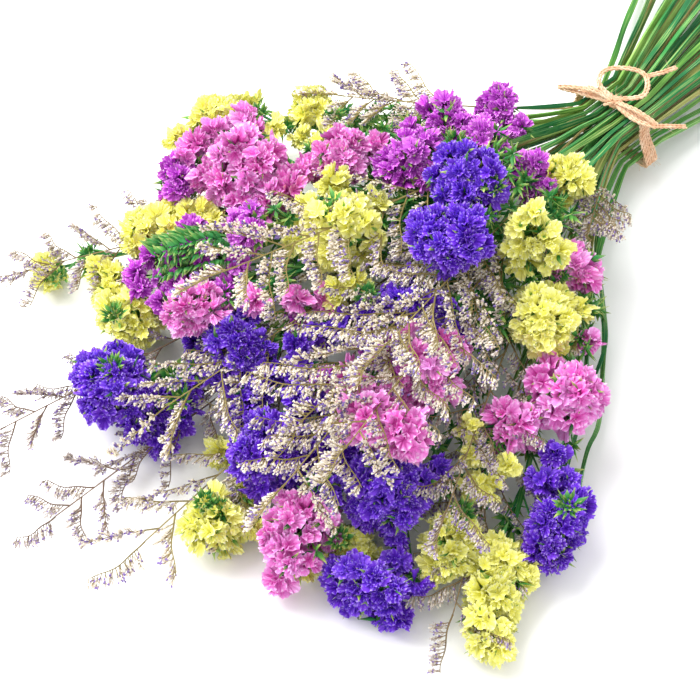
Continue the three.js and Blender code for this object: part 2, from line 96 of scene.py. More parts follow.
# Every head of statice: colour, row, reach from the tie in millimetres, bearing from the
# tie's axis in degrees, height of its middle, length, width and the way it lies or opens.
HEADS = [
    ("violet", "top", 133, -5, 84, 22, 36, "open"),
    ("violet", "top", 162, -10, 78, 26, 38, "open"),
    ("violet", "low", 304, 8, 24, 40, 46, "open"),
    ("violet", "middle", 252, 4, 38, 24, 30, "open"),
    ("violet", "middle", 281, -7, 36, 30, 34, "open"),
    ("violet", "middle", 266, -19, 38, 30, 36, "open"),
    ("violet", "low", 306, -21, 16, 18, 40, "open"),
    ("violet", "low", 244, -35, 17, 44, 30, "open"),
    ("violet", "upper", 188, -11, 54, 18, 26, "open"),
    ("magenta", "top", 67, 31, 50, 12, 22, "open"),
    ("magenta", "top", 98, 23, 58, 18, 24, "open"),
    ("magenta", "top", 133, 14, 60, 16, 28, "open"),
    ("magenta", "top", 92, 7, 62, 18, 24, "open"),
    ("magenta", "middle", 248, 16, 42, 32, 28, "turned"),
    ("magenta", "upper", 217, 15, 54, 14, 24, "open"),
    ("magenta", "middle", 237, 30, 34, 14, 26, "open"),
    ("magenta", "top", 91, -11, 62, 12, 22, "open"),
    ("pink", "upper", 203, 27, 48, 38, 36, "open"),
    ("pink", "upper", 156, 24, 52, 26, 22, "open"),
    ("pink", "middle", 258, 9, 46, 28, 26, "closed"),
    ("pink", "upper", 216, -17, 58, 28, 32, "open"),
    ("pink", "upper", 249, -14, 56, 26, 24, "broad"),
    ("pink", "low", 300, -14, 26, 38, 30, "open"),
    ("pink", "middle", 190, -34, 40, 30, 34, "broad"),
    ("pink", "upper", 122, -31, 42, 18, 24, "open"),
    ("pink", "middle", 211, -28, 34, 20, 24, "open"),
    ("yellow", "low", 212, 43, 24, 32, 26, "open"),
    ("yellow", "middle", 163, 44, 28, 20, 22, "open"),
    ("yellow", "upper", 181, 7, 58, 38, 38, "broad"),
    ("yellow", "low", 257, 26, 20, 20, 22, "open"),
    ("yellow", "low", 283, 21, 14, 14, 22, "open"),
    ("yellow", "low", 281, 16, 18, 28, 28, "open"),
    ("yellow", "low", 311, 26, 9, 10, 16, "open"),
    ("yellow", "low", 314, -7, 15, 30, 28, "open"),
    ("yellow", "low", 289, -17, 13, 14, 20, "open"),
    ("yellow", "low", 273, -26, 20, 28, 26, "open"),
    ("yellow", "low", 282, -31, 14, 58, 26, "open"),
    ("yellow", "top", 79, -19, 56, 16, 26, "open"),
    ("yellow", "top", 132, -21, 70, 24, 34, "open"),
    ("yellow", "upper", 159, -28, 48, 34, 28, "open"),
]

# Small side clusters between the heads, in the order in which they are made. Each line is
# a colour, and the reach, bearing, height and width of some clusters of that colour. A
# cluster's twig leaves the nearest stem, and its cups go with the nearest head of its
# colour.
CLUSTERS = [
    ("yellow", (196, 46, 26, 14), (230, 40, 24, 14), (183, 39, 30, 13), (169, 36, 32, 13)),
    ("yellow", (156, 35, 34, 13)),
    ("pink", (221, 33, 44, 16), (187, 22, 48, 16), (195, 35, 44, 14), (137, 24, 52, 14), (172, 24, 48, 14)),
    ("yellow", (184, 16, 50, 14), (196, 12, 46, 16), (186, 5, 50, 16), (198, 1, 46, 16)),
    ("magenta", (238, 21, 40, 13), (219, 15, 44, 14), (215, 19, 44, 11), (255, 20, 36, 13)),
    ("magenta", (234, 11, 40, 14)),
    ("pink", (215, 4, 44, 14)),
    ("violet", (237, 6, 40, 14), (201, -5, 52, 14), (191, -6, 56, 13), (179, -7, 60, 13), (303, 4, 14, 16)),
    ("violet", (265, 3, 30, 16), (253, 6, 32, 14), (274, -3, 30, 18), (275, -7, 32, 18)),
    ("violet", (185, -16, 54, 18), (189, -11, 54, 13)),
    ("pink", (194, -18, 52, 14), (214, -16, 52, 14), (225, -16, 50, 13)),
    ("violet", (258, -2, 32, 14), (285, -8, 28, 16), (253, -19, 40, 14), (269, -14, 40, 16)),
    ("violet", (277, -18, 32, 18)),
    ("yellow", (223, -24, 40, 13), (242, -27, 28, 16), (281, -5, 20, 14), (292, -7, 14, 16)),
    ("yellow", (312, -5, 12, 14), (315, -6, 12, 14), (281, -25, 16, 16), (270, -26, 22, 16)),
    ("yellow", (289, -17, 14, 13)),
    ("magenta", (103, 32, 52, 13), (96, 21, 56, 14), (118, 25, 54, 13), (64, 13, 52, 13), (85, 18, 56, 14)),
    ("magenta", (70, -5, 46, 13)),
    ("pink", (191, -32, 36, 14), (192, -37, 34, 14), (212, -28, 34, 16)),
    ("violet", (232, -33, 28, 16), (239, -37, 24, 16), (217, -34, 28, 14), (262, -34, 20, 18)),
    ("pink", (289, -11, 26, 14), (300, -14, 20, 16), (288, -14, 22, 14), (317, -14, 12, 14)),
    ("yellow", (264, -30, 18, 16), (289, -31, 14, 16), (308, -32, 12, 16), (276, -33, 14, 14)),
    ("yellow", (155, -31, 38, 14), (143, -26, 40, 14), (142, -33, 38, 13)),
    ("pink", (123, -30, 40, 14)),
    ("violet", (287, -22, 18, 14), (308, -19, 14, 16), (293, -24, 16, 14), (256, -11, 40, 14)),
    ("magenta", (238, -7, 46, 13)),
    ("violet", (237, -3, 42, 14)),
    ("pink", (249, -14, 48, 14), (245, -18, 48, 14)),
    ("yellow", (286, 23, 18, 14), (288, 18, 18, 16), (279, 14, 20, 16)),
    ("violet", (252, -6, 40, 18), (267, -7, 36, 18), (267, -10, 36, 18), (276, -6, 32, 18)),
    ("violet", (265, -13, 42, 18), (280, -14, 34, 16), (268, -16, 38, 18), (253, -17, 44, 16)),
    ("violet", (261, -20, 40, 16), (273, -19, 34, 16), (259, -14, 44, 14), (245, 6, 36, 18)),
    ("violet", (242, 2, 38, 16), (256, 3, 34, 18), (255, 0, 34, 18), (266, -1, 32, 18), (260, 6, 30, 16)),
    ("violet", (192, -15, 54, 18), (190, -8, 60, 16), (211, -8, 54, 16), (232, -1, 44, 14)),
    ("pink", (200, -17, 60, 18), (212, -16, 60, 16), (228, -15, 58, 18), (234, 6, 50, 14)),
    ("pink", (236, -15, 58, 16), (155, -36, 34, 14), (225, 33, 46, 16), (214, 35, 46, 16)),
    ("pink", (206, 31, 48, 18), (204, 23, 46, 18), (198, 20, 48, 18), (187, 20, 50, 16), (179, 23, 50, 14)),
    ("pink", (198, 37, 46, 16), (231, 31, 44, 16), (164, 18, 50, 14), (154, 21, 52, 16)),
    ("yellow", (168, 16, 58, 18), (185, 14, 54, 18), (159, 8, 60, 16), (187, 9, 52, 16), (194, 12, 50, 14)),
    ("yellow", (178, 3, 54, 14), (192, 0, 50, 14), (234, -25, 36, 11), (286, -6, 20, 16)),
    ("yellow", (277, -6, 24, 14), (147, -25, 44, 18), (143, -29, 44, 16), (159, -29, 40, 18)),
    ("yellow", (169, -31, 38, 16), (231, -29, 32, 12), (244, -26, 26, 13), (218, 43, 26, 16)),
    ("yellow", (205, 45, 26, 16), (235, 40, 22, 14), (159, 42, 34, 16), (167, 41, 34, 14)),
    ("yellow", (189, 34, 34, 14), (161, 33, 36, 12)),
    ("magenta", (132, 14, 60, 16), (128, 9, 60, 14), (117, 8, 62, 16), (108, 4, 64, 14), (90, -6, 56, 14)),
    ("magenta", (92, -13, 54, 14), (117, 17, 60, 16)),
    ("pink", (256, -15, 68, 22, "broad"), (255, -19, 68, 24, "broad")),
    ("violet", (289, -8, 26, 18), (280, -5, 28, 18), (278, -10, 30, 18), (263, 8, 30, 16)),
    ("violet", (197, -14, 58, 16), (182, -15, 58, 16), (302, 3, 12, 16), (282, 4, 18, 14)),
    ("pink", (208, -14, 62, 16), (221, -18, 58, 14)),
    ("magenta", (218, -12, 60, 16), (224, -15, 62, 14)),
    ("pink", (233, -9, 50, 14)),
    ("yellow", (286, -2, 14, 14), (307, -15, 12, 14), (302, -9, 12, 14)),
    ("pink", (224, 28, 44, 16), (217, 25, 44, 16), (211, 22, 44, 16), (203, 19, 46, 14)),
    ("violet", (278, 5, 22, 14), (290, 3, 16, 14)),
    ("yellow", (246, 24, 28, 14), (257, 25, 24, 14)),
    ("violet", (216, -1, 36, 16), (226, -1, 34, 16), (205, -2, 38, 14), (245, -22, 34, 14)),
    ("violet", (244, 0, 30, 16), (241, -3, 32, 14)),
    ("magenta", (218, 3, 34, 14)),
    ("violet", (242, -8, 34, 16), (234, -10, 36, 14), (253, -21, 32, 14)),
    ("pink", (204, 2, 40, 14)),
    ("violet", (269, 6, 22, 14)),
    ("yellow", (291, -17, 16, 14), (289, -19, 14, 14), (298, -16, 12, 12)),
    ("violet", (191, -17, 50, 14), (261, -21, 28, 14), (279, -21, 22, 12)),
    ("pink", (280, -14, 24, 12)),
    ("magenta", (210, -8, 50, 14), (272, 18, 38, 12), (274, 16, 38, 12), (268, 13, 40, 13)),
    ("magenta", (260, 12, 42, 13), (252, 11, 44, 13), (243, 10, 44, 13), (253, 19, 42, 13)),
    ("magenta", (262, 19, 40, 13), (238, 20, 44, 12), (228, 13, 44, 12)),
    ("yellow", (251, 26, 30, 13), (243, 27, 30, 13), (237, 25, 32, 13), (229, 25, 32, 13)),
    ("yellow", (224, 23, 34, 12), (258, 25, 28, 13), (266, 24, 26, 12), (234, 24, 30, 12)),
]

# Stars of green bracts: reach, bearing, height and length of the bracts.
STARS = [
    (307, 8, 46, 8), (315, -6, 30, 7), (312, -7, 28, 6), (294, -17, 28, 8), (247, -36, 36, 9),
    (130, -11, 90, 7), (108, 10, 70, 7), (129, 16, 64, 7), (191, 41, 36, 7), (151, 39, 38, 6),
    (290, 15, 32, 8), (306, 24, 14, 6), (285, 5, 36, 8), (288, 3, 32, 9), (180, -16, 62, 7),
    (198, -4, 60, 7), (244, -15, 62, 8), (253, -16, 58, 8), (279, -13, 38, 9), (285, -13, 32, 9),
    (260, -26, 30, 8), (275, -20, 34, 8), (158, -6, 60, 7), (221, -27, 34, 8), (113, -20, 60, 6),
]

# Long side branches at the edge of the bunch, by places from the tie in millimetres.
EDGE_BRANCHES = [
    [(1, -5, 22), (-33, -23, 16), (-64, -46, 13), (-88, -71, 12), (-109, -91, 14), (-136, -105, 22)],
    [(-1, -3, 20), (-37, -21, 14), (-68, -44, 11), (-101, -74, 10), (-141, -105, 14), (-178, -127, 18)],
    [(-89, -70, 12), (-104, -87, 9), (-141, -116, 9), (-158, -124, 10), (-182, -138, 18)],
]

# Every spray of sea lavender: row, reach of its tip, bearing, height of the tip, share of
# its reach that carries florets, number of branchlets, and how grey its florets are.
HAZE = [
    ("under", 359, 11, 17, 0.42, 20, 0.9),
    ("under", 362, 3, 8, 0.38, 19, 0.9),
    ("under", 316, 25, 20, 0.38, 17, 0.7),
    ("over", 242, 6, 82, 0.5, 18, 0.1),
    ("between", 300, 2, 44, 0.45, 17, 0.1),
    ("under", 344, -4, 18, 0.4, 15, 0.3),
    ("over", 262, -11, 74, 0.5, 20, 0.0),
    ("between", 296, -12, 56, 0.5, 18, 0.2),
    ("over", 223, -13, 80, 0.45, 18, 0.1),
    ("over", 277, -16, 80.5, 0.55, 20, 0.3),
    ("between", 268, -25, 46, 0.5, 18, 0.6),
    ("under", 302, -28, 18, 0.35, 14, 0.7),
    ("over", 146, 44, 40, 0.45, 12, 0.2),
    ("over", 93, -32, 46.5, 0.4, 10, 0.5),
]

# How the papery cups of each colour grow, in millimetres: mouth radius, length, radius
# of the lobes of a head, number of cups in a lobe, and how ruffled a mouth is as a share
# of its radius.
CUPS = {
    "violet": {"mouth": 2.9, "length": 5.6, "lobe": 6.6, "cups": 17, "ruffle": 0.16},
    "magenta": {"mouth": 2.9, "length": 5.6, "lobe": 6.5, "cups": 14, "ruffle": 0.15},
    "pink": {"mouth": 3.6, "length": 6.6, "lobe": 7.5, "cups": 11, "ruffle": 0.13},
    "yellow": {"mouth": 3.3, "length": 6.2, "lobe": 7.5, "cups": 11, "ruffle": 0.15},
}
BROAD = 1.45  # how much wider the cups of a broad head are
SKIN_ALONG = 3 * MM  # the florets reach this far past a head's stated length
SKIN_ACROSS = 2 * MM  # and width
LOBE_DEPTH = 0.85  # of a lobe's middle under the head's skin, as a share of its radius
LOBE_SPACING = 1.62
BARE_SHARE = 0.14  # of the lobes, where only green bracts show
HIDDEN_LEVEL = 0.74  # cups deeper inside a head than this can't be seen
SWELL_PITCH = 2.8  # how closely the swells of a head's outline follow each other
SWELL_MEAN = 0.84
SWELL_CHANGE = 0.68
SWELL_LEAST = 0.55

# The twine: its rounds and runs go through these places from the tie's middle.
KNOT = np.array([-4, 1, 40.6]) * MM
WRAP_OUTLINE = [(0, 40.6), (10, 40.5), (18.6, 38.5), (21.2, 28), (26.6, 18), (26, 12.2)]
WRAP_LOWEST = (0, 12.8)
WRAP_SLANTS = [-0.22, -0.05]
TWINE_RUNS = [
    [(-4, 1, 41), (-9, 13, 44), (-18, 27, 42), (-13, 18, 41), (-4, 1, 40)],
    [(-4, 1, 41), (-3, -14, 44), (-1, -27, 41), (-6, -16, 41), (-4, 1, 40)],
    [(-4, 1, 42), (-2, 13, 44), (8, 17, 44), (18, 9, 44), (20, -1, 44), (8, -9, 44), (-4, 1, 42)],
    [(20, -1, 44), (29, -5, 44), (38, -7, 43)],
    [(-1, -27, 41), (6, -31, 39), (14, -35, 36)],
]
PLY_RADIUS = 0.46 * MM
PLY_OFFSET = 0.4 * MM
PLY_TURN = 5.5 * MM  # length over which the plies go round each other once
PLY_CORNERS = 6
PLY_SWELL = 0.12
PLY_SWELL_PITCH = 2.3 * MM
TWINE_STEP = 0.8 * MM
STRAND_PITCH = 1.45 * MM
KNOT_STATIONS = 90
KNOT_RINGS = ((1.15, 0.3), (0.8, 1.4))  # size and turn of each ring of the knot
KNOT_STRETCH = np.array([[1.35], [1.35], [1.5]])
FIBRES = 170
FIBRE_RADII = (0.06, 0.06)
FIBRE_LENGTHS = (1.5, 4.5)
FIBRE_STATIONS = 5
FIBRE_SHAKE = 0.7
FIBRE_CURL = 0.6

READ = ("tone", "edge", "kind", "along")  # what a material reads at each point


class Heap:
    """Shapes gathered for one piece, with what its material reads at each point."""

    def __init__(self):
        self.points = []
        self.faces = []
        self.read = {name: [] for name in READ}
        self.count = 0

    def add(self, points, faces, **values):
        """Adds copies: points is (copies, points, 3), and faces the triangles of one."""
        copies, each = points.shape[:2]
        if not copies:
            return
        starts = self.count + each * np.arange(copies)
        self.points.append(points.reshape(-1, 3))
        self.faces.append((faces[None] + starts[:, None, None]).reshape(-1, 3))
        for name in READ:
            value = np.broadcast_to(values.get(name, 0.0), (copies, each))
            self.read[name].append(value.reshape(-1))
        self.count += copies * each

    def piece(self, name, material, smooth):
        """The heap as a finished object at the origin."""
        points = np.concatenate(self.points)
        points[:, 2] = np.maximum(points[:, 2], TABLE_GAP)
        mesh = bpy.data.meshes.new(name)
        mesh.from_pydata(points.tolist(), [], np.concatenate(self.faces).tolist())
        for read, values in self.read.items():
            attribute = mesh.attributes.new(read, "FLOAT", "POINT")
            attribute.data.foreach_set("value", np.concatenate(values).astype(np.float32))
        mesh.materials.append(material)
        made = bpy.data.objects.new(name, mesh)
        bpy.context.collection.objects.link(made)
        bpy.ops.object.select_all(action="DESELECT")
        made.select_set(True)
        bpy.context.view_layer.objects.active = made
        bpy.ops.object.shade_smooth_by_angle(angle=smooth)
        return made


# Directions and paths.
NEAR = 0.1  # places nearer than this are the same one on a shape of size one
STEEP = 0.95  # height of a direction that is too near +Z to be turned about it
CURVE_STEPS = 24  # between two places that a smooth path goes through


def unit(vectors):
    """The vectors at length one."""
    return vectors / np.linalg.norm(vectors, axis=-1, keepdims=True)


def way_along(path):
    """How far each station of a path is from its start, along it."""
    return np.concatenate([[0], np.cumsum(np.linalg.norm(np.diff(path, axis=0), axis=1))])


def turns(directions, spins):
    """For each direction, the turn that takes +Z to it after a spin about +Z."""
    z = unit(directions)
    helper = np.where(np.abs(z[:, 2:]) > STEEP, ALONG_X, UP)
    x = unit(np.cross(helper, z))
    y = np.cross(z, x)
    cos, sin = np.cos(spins)[:, None], np.sin(spins)[:, None]
    return np.stack([x * cos + y * sin, y * cos - x * sin, z], axis=2)


def sides(paths, side):
    """Across and over each station of paths, both square to the way they run."""
    tangents = unit(np.gradient(paths, axis=-2))
    across = unit(np.cross(tangents, side))
    return across, np.cross(across, tangents)


def spread(count, lowest):
    """Directions spread evenly over a ball, from +Z down to a lowest height."""
    z = 1 - (1 - lowest) * (np.arange(count) + 0.5) / count
    angle = GOLDEN_ANGLE * np.arange(count)
    flat = np.sqrt(1 - z * z)
    return np.stack([flat * np.cos(angle), flat * np.sin(angle), z], axis=1)


def spread_about(directions, count, lowest, shake):
    """For each direction, others spread about it: (directions, count, 3)."""
    near = spread(count, lowest)[None] + shake * random.normal(size=(len(directions), count, 3))
    spins = random.uniform(0, math.tau, len(directions))
    return unit(np.einsum("nij,ncj->nci", turns(directions, spins), near))


def outward(bearing):
    """The level direction away from the tie on a bearing in degrees."""
    angle = math.radians(bearing)
    return np.array([-math.cos(angle), math.sin(angle), 0.0])


def spot(reach, bearing, height):
    """A place as the tables give it: millimetres from the tie, degrees, millimetres up."""
    return outward(bearing) * reach * MM + UP * height * MM


def facing_out(points, faces):
    """The triangles of a closed shape, turned round if they face inwards."""
    a, b, c = (points[faces[:, corner]] for corner in range(3))
    inside_out = np.einsum("ij,ij->", a - points[0], np.cross(b - a, c - a)) < 0
    return faces[:, ::-1] if inside_out else faces


def sweep(paths, radii, section, side, twist=0.0):
    """Closed tubes along paths (tubes, stations, 3): their points and one's triangles.

    section is the radius of each corner as a share of the tube's, and side the way that
    the first corner points before the twist.
    """
    tubes, stations = paths.shape[:2]
    corners = len(section)
    across, over = sides(paths, side)
    twist = np.broadcast_to(np.asarray(twist)[..., None], (tubes, stations, 1))
    angles = math.tau * np.arange(corners) / corners + twist
    rims = np.cos(angles)[..., None] * over[:, :, None]
    rims = rims + np.sin(angles)[..., None] * across[:, :, None]
    reach = radii[..., None] * np.asarray(section)
    rings = (paths[:, :, None] + rims * reach[..., None]).reshape(tubes, -1, 3)
    points = np.concatenate([rings, paths[:, :1], paths[:, -1:]], axis=1)
    ring, corner = np.meshgrid(np.arange(stations - 1), np.arange(corners), indexing="ij")
    after = (corner + 1) % corners
    a, b = ring * corners + corner, ring * corners + after
    c, d = a + corners, b + corners
    walls = np.stack([a, b, d, a, d, c], axis=-1).reshape(-1, 3)
    corner = np.arange(corners)
    after = (corner + 1) % corners
    start = np.full(corners, stations * corners)
    first = np.stack([after, corner, start], axis=1)
    last_ring = start - corners
    last = np.stack([last_ring + corner, last_ring + after, start + 1], axis=1)
    return points, facing_out(points[0], np.concatenate([walls, first, last]))


def tube_values(values, corners):
    """Values of the stations of tubes as values of the tubes' points."""
    rings = np.repeat(values, corners, axis=1)
    return np.concatenate([rings, values[:, :1], values[:, -1:]], axis=1)


def smooth_path(places, step, closed=False):
    """A smooth path through places, with stations an even step apart."""
    before = places[-2] if closed else 2 * places[0] - places[1]
    beyond = places[1] if closed else 2 * places[-1] - places[-2]
    knots = np.vstack([before, places, beyond])
    share = np.linspace(0, 1, CURVE_STEPS, endpoint=False)[:, None]
    spans = []
    for a, b, c, d in zip(knots, knots[1:], knots[2:], knots[3:]):
        rise = (c - a) * share + (2 * a - 5 * b + 4 * c - d) * share**2
        spans.append(b + (rise + (3 * b - a - 3 * c + d) * share**3) / 2)
    fine = np.vstack([*spans, places[-1:]])
    run = way_along(fine)
    stations = np.linspace(0, run[-1], round(run[-1] / step))
    return np.stack([np.interp(stations, run, fine[:, axis]) for axis in range(3)], axis=1)


# The modelled shapes that repeat: a papery cup, a green bract and a sea lavender floret.
def start_ring(name, corners, height):
    """Starts a shape with a level ring of points of radius one."""
    bpy.ops.object.select_all(action="DESELECT")
    bpy.ops.mesh.primitive_circle_add(vertices=corners, radius=1, fill_type="NOTHING")
    bpy.context.object.name = name
    bpy.ops.object.mode_set(mode="EDIT")
    bpy.ops.mesh.select_mode(type="VERT")
    bpy.ops.mesh.select_all(action="SELECT")
    bpy.ops.transform.translate(value=(0, 0, height))


def extrude_to_point(rise):
    """Closes the selected ring to a point so much higher."""
    bpy.ops.mesh.extrude_edges_move(TRANSFORM_OT_translate={"value": (0, 0, rise)})
    bpy.ops.mesh.merge(type="CENTER")


def pick_ring(height):
    """Selects the ring of points at a height."""
    shape = bmesh.from_edit_mesh(bpy.context.edit_object.data)
    for point in shape.verts:
        point.select_set(abs(point.co.z - height) < NEAR)
    shape.select_flush_mode()
    bmesh.update_edit_mesh(bpy.context.edit_object.data)


def finish_shape():
    """Ends the shape in edit mode, and returns its points and triangles."""
    bpy.ops.mesh.select_all(action="SELECT")
    bpy.ops.mesh.normals_make_consistent(inside=False)
    bpy.ops.mesh.quads_convert_to_tris()
    bpy.ops.object.mode_set(mode="OBJECT")
    shape = bpy.context.object
    points = np.array([point.co[:] for point in shape.data.vertices])
    faces = np.array([face.vertices[:] for face in shape.data.polygons])
    bpy.data.objects.remove(shape)
    return points, facing_out(points, faces)


CUP_CORNERS = 16
CUP_DENT = 0.55  # how deep the middle of the mouth lies, as a share of the length
FLORET_CORNERS = 4
FLORET_DENT = 0.3


def model_funnel(name, corners, dent):
    """A papery funnel of length and mouth radius one, its root at the origin, mouth up."""
    start_ring(name, corners, 1)
    extrude_to_point(-1)
    pick_ring(1)
    extrude_to_point(-dent)
    return finish_shape()


def parts_of_funnel(points):
    """Which points are on the rim of a funnel, and which is the middle of its mouth."""
    on_rim = np.hypot(points[:, 0], points[:, 1]) > NEAR
    return on_rim, ~on_rim & (points[:, 2] > NEAR)


BRACT_CORNERS = 4
BRACT_WIDEST = 0.35
BRACT_FLATNESS = 0.4


def model_bract():
    """A keeled pointed leaf of length and half width one, its root at the origin."""
    start_ring("bract", BRACT_CORNERS, BRACT_WIDEST)
    bpy.ops.transform.resize(value=(1, BRACT_FLATNESS, 1), center_override=(0, 0, 0))
    extrude_to_point(1 - BRACT_WIDEST)
    pick_ring(BRACT_WIDEST)
    extrude_to_point(-BRACT_WIDEST)
    return finish_shape()


CUP = model_funnel("cup", CUP_CORNERS, CUP_DENT)
FLORET = model_funnel("floret", FLORET_CORNERS, FLORET_DENT)
BRACT = model_bract()

# Two numbers are the least and the most of an even draw, unless they are named as the
# mean and change of a bell-shaped one.
ANY_TONE = (0, 1)
CUP_SIZES = (0.75, 1.2)
CUP_LENGTHS = (0.85, 1.1)
CUP_FOLDS = (0.3, 1.6)
CUP_FOLD_LIFT = 0.085  # how far a fold lifts the rim, as a share of the length
CUP_NOTCH = 0.6
CUP_RAGGED = 0.05
CUP_TILT = 0.2
SHUT_MOUTH = 0.4  # radius of a shut mouth, as a share of an open one's
RIM_PAINTED_LIGHT = (0.86, 0.14)  # of the rim, and how much its folds change it: a painted highlight on the rim, lighter on raised folds and darker on sunk ones
# Of the middle of a mouth: painted shade in the throat.
THROAT_PAINTED_SHADE = 0.3
BRACT_BEND = 0.25


def stand_shapes(heap, faces, shapes, roots, directions, **read):
    """Shapes given by x, y and z, each spun about +Z, turned to its direction and moved."""
    turned = turns(directions, random.uniform(0, math.tau, len(roots)))
    points = np.einsum("nij,npj->npi", turned, np.stack(shapes, axis=2)) + roots[:, None]
    heap.add(points, faces, **read)


def stand_cups(heap, colour, mouths, directions, tones, opening, broad=1.0):
    """Papery cups with their mouths at places, each with its own size and ruffles."""
    grow = CUPS[colour]
    count = len(mouths)
    points, faces = CUP
    on_rim, in_mouth = parts_of_funnel(points)
    turn = np.round(np.arctan2(points[:, 1], points[:, 0]) / (math.tau / CUP_CORNERS))
    fold = np.where(on_rim, np.where(turn % 2 == 0, 1.0, -1.0), 0.0)
    folds = fold * random.uniform(*CUP_FOLDS, (count, len(points)))
    size = broad * random.uniform(*CUP_SIZES, (count, 1))
    radius = grow["mouth"] * MM * size * (SHUT_MOUTH + (1 - SHUT_MOUTH) * opening[:, None])
    length = grow["length"] * MM * random.uniform(*CUP_LENGTHS, (count, 1))
    notch = random.normal(0, CUP_NOTCH, (count, len(points))) * on_rim
    wide = radius * (1 + grow["ruffle"] * (notch - folds / 2))
    ragged = random.normal(0, CUP_RAGGED, (count, len(points))) * on_rim
    lift = CUP_FOLD_LIFT * broad * folds + ragged
    tilt = random.normal(0, CUP_TILT, (count, 2))
    lean = (tilt @ points[:, :2].T) * on_rim
    flare = in_mouth * CUP_DENT / 2 * (1 - opening[:, None])
    tall = (points[:, 2] - 1 + lift + lean + flare) * length
    shapes = points[:, 0] * wide, points[:, 1] * wide, tall
    # The root reads nought and the middle of the mouth little, for painted shade; the rim reads most, for a
    # painted highlight.
    edge = np.where(on_rim, RIM_PAINTED_LIGHT[0] + RIM_PAINTED_LIGHT[1] * fold, in_mouth * THROAT_PAINTED_SHADE)
    stand_shapes(heap, faces, shapes, mouths, directions, tone=tones[:, None], edge=edge)


def stand_bracts(heap, roots, directions, lengths, widths, tones):
    """Green bracts from their roots, each bent a little along its keel."""
    points, faces = BRACT
    bend = random.uniform(0, BRACT_BEND, (len(roots), 1)) * points[:, 2] ** 2
    along = points[:, 2] * lengths[:, None]
    over = points[:, 1] * widths[:, None] + bend * lengths[:, None]
    shapes = points[:, 0] * widths[:, None], over, along
    read = {"tone": tones, "edge": points[:, 2], "kind": 1.0, "along": along}
    stand_shapes(heap, faces, shapes, roots, directions, **read)


def grow_bracts(heap, roots, directions, lengths, widths, tones):
    """Bracts whose lengths and half widths in millimetres, and tones, are drawn here."""
    count = len(roots)
    lengths = random.uniform(*lengths, count) * MM
    widths = random.uniform(*widths, count) * MM
    stand_bracts(heap, roots, directions, lengths, widths, random.uniform(*tones, (count, 1)))


def stand_hairs(heap, paths, radii, section, side, tones=ANY_TONE, **read):
    """Thin tubes along paths, with the radii of their two ends in millimetres."""
    radii = np.broadcast_to(np.linspace(*radii, paths.shape[1]) * MM, paths.shape[:2])
    points, faces = sweep(paths, radii, section, side)
    heap.add(points, faces, tone=random.uniform(*tones, (len(paths), 1)), **read)


# Where each stem runs.
FIRST_DRAW = 11
DRAW_TIMES = 1664525
DRAW_PLUS = 1013904223
DRAW_TOP = 2**32


def cut_lengths(count):
    """The length of each stem past the tie, from the same draw as the solids."""
    draw = FIRST_DRAW
    lengths = []
    for _ in range(count):
        draw = (draw * DRAW_TIMES + DRAW_PLUS) % DRAW_TOP
        lengths.append(CUT_LENGTH + (2 * draw / DRAW_TOP - 1) * CUT_LENGTH_CHANGE)
    return lengths


class Stalk:
    """A stem's place in the tie, and its way out to a head or a spray's tip."""

    def __init__(self, name, row, bearing, cut_length):
        self.name, self.row = name, row
        self.bearing, self.cut_length = bearing, cut_length

    def outward_run(self, share):
        """Places at shares of the way from the tie to the end."""
        row, (_, y, z), end = ROWS[self.row], self.slot, self.end
        bow = row["bow"] * MM * np.sin(math.pi * share)
        return np.stack([
            -TIE_HOLD + (end[0] + TIE_HOLD) * share,
            y + (end[1] - y) * share**FAN_EASE,
            z + (end[2] - z) * share ** row["rise"] + bow,
        ], axis=1)

    def whole_run(self):
        """Places all the way from the cut end through the tie to the end."""
        _, y, z = self.slot
        share = np.linspace(1, 0, CUT_STATIONS)
        cut = np.stack([
            TIE_HOLD + (self.cut_length - TIE_HOLD) * share,
            y * (1 + CUT_SPREAD * share) + CUT_DRIFT * share,
            z + (ROWS[self.row]["cut"] * MM - z) * share,
        ], axis=1)
        held = [(x, y, z) for x in np.linspace(TIE_HOLD, -TIE_HOLD, TIE_STATIONS + 2)[1:-1]]
        return np.vstack([cut, held, self.outward_run(np.linspace(0, 1, OUTWARD_STATIONS))])


def make_stalks(cuts):
    """A stalk for each head, cut to the next of the lengths."""
    stalks, counts = [], dict.fromkeys(CUPS, 0)
    for (colour, row, reach, bearing, height, length, width, way), cut in zip(HEADS, cuts):
        counts[colour] += 1
        stalk = Stalk(f"{colour}_head_{counts[colour]}", row, bearing, cut)
        tilt = math.radians(ROWS[row]["tilt"])
        stalk.colour, stalk.way = colour, way
        stalk.axis = outward(bearing) * math.cos(tilt) + UP * math.sin(tilt)
        stalk.middle = spot(reach, bearing, height)
        stalk.length, stalk.width = length * MM, width * MM
        stalk.end = stalk.middle - stalk.axis * (stalk.length / 2 + HEAD_GAP)
        stalks.append(stalk)
    return stalks


def make_haze(cuts):
    """A stalk for each spray of sea lavender, cut to the next of the lengths."""
    sprays = []
    for (row, reach, bearing, height, plume, branchlets, grey), cut in zip(HAZE, cuts):
        spray = Stalk(f"sea_lavender_{len(sprays) + 1}", row, bearing, cut)
        spray.end = spot(reach, bearing, height)
        spray.plume, spray.branchlets, spray.grey = plume, branchlets, grey
        sprays.append(spray)
    return sprays


def place_in_tie(stalks):
    """Side by side in their rows, in the order of their bearings."""
    for row in ROWS:
        in_row = sorted((s for s in stalks if s.row == row), key=lambda s: s.bearing)
        pitch = STEM_PITCH if row in LAYERS else HAZE_STEM_PITCH
        for place, stalk in enumerate(in_row):
            y = (place - (len(in_row) - 1) / 2) * pitch
            stalk.slot = np.array([0.0, y, TIE_HEIGHT + ROWS[row]["lift"] * MM])


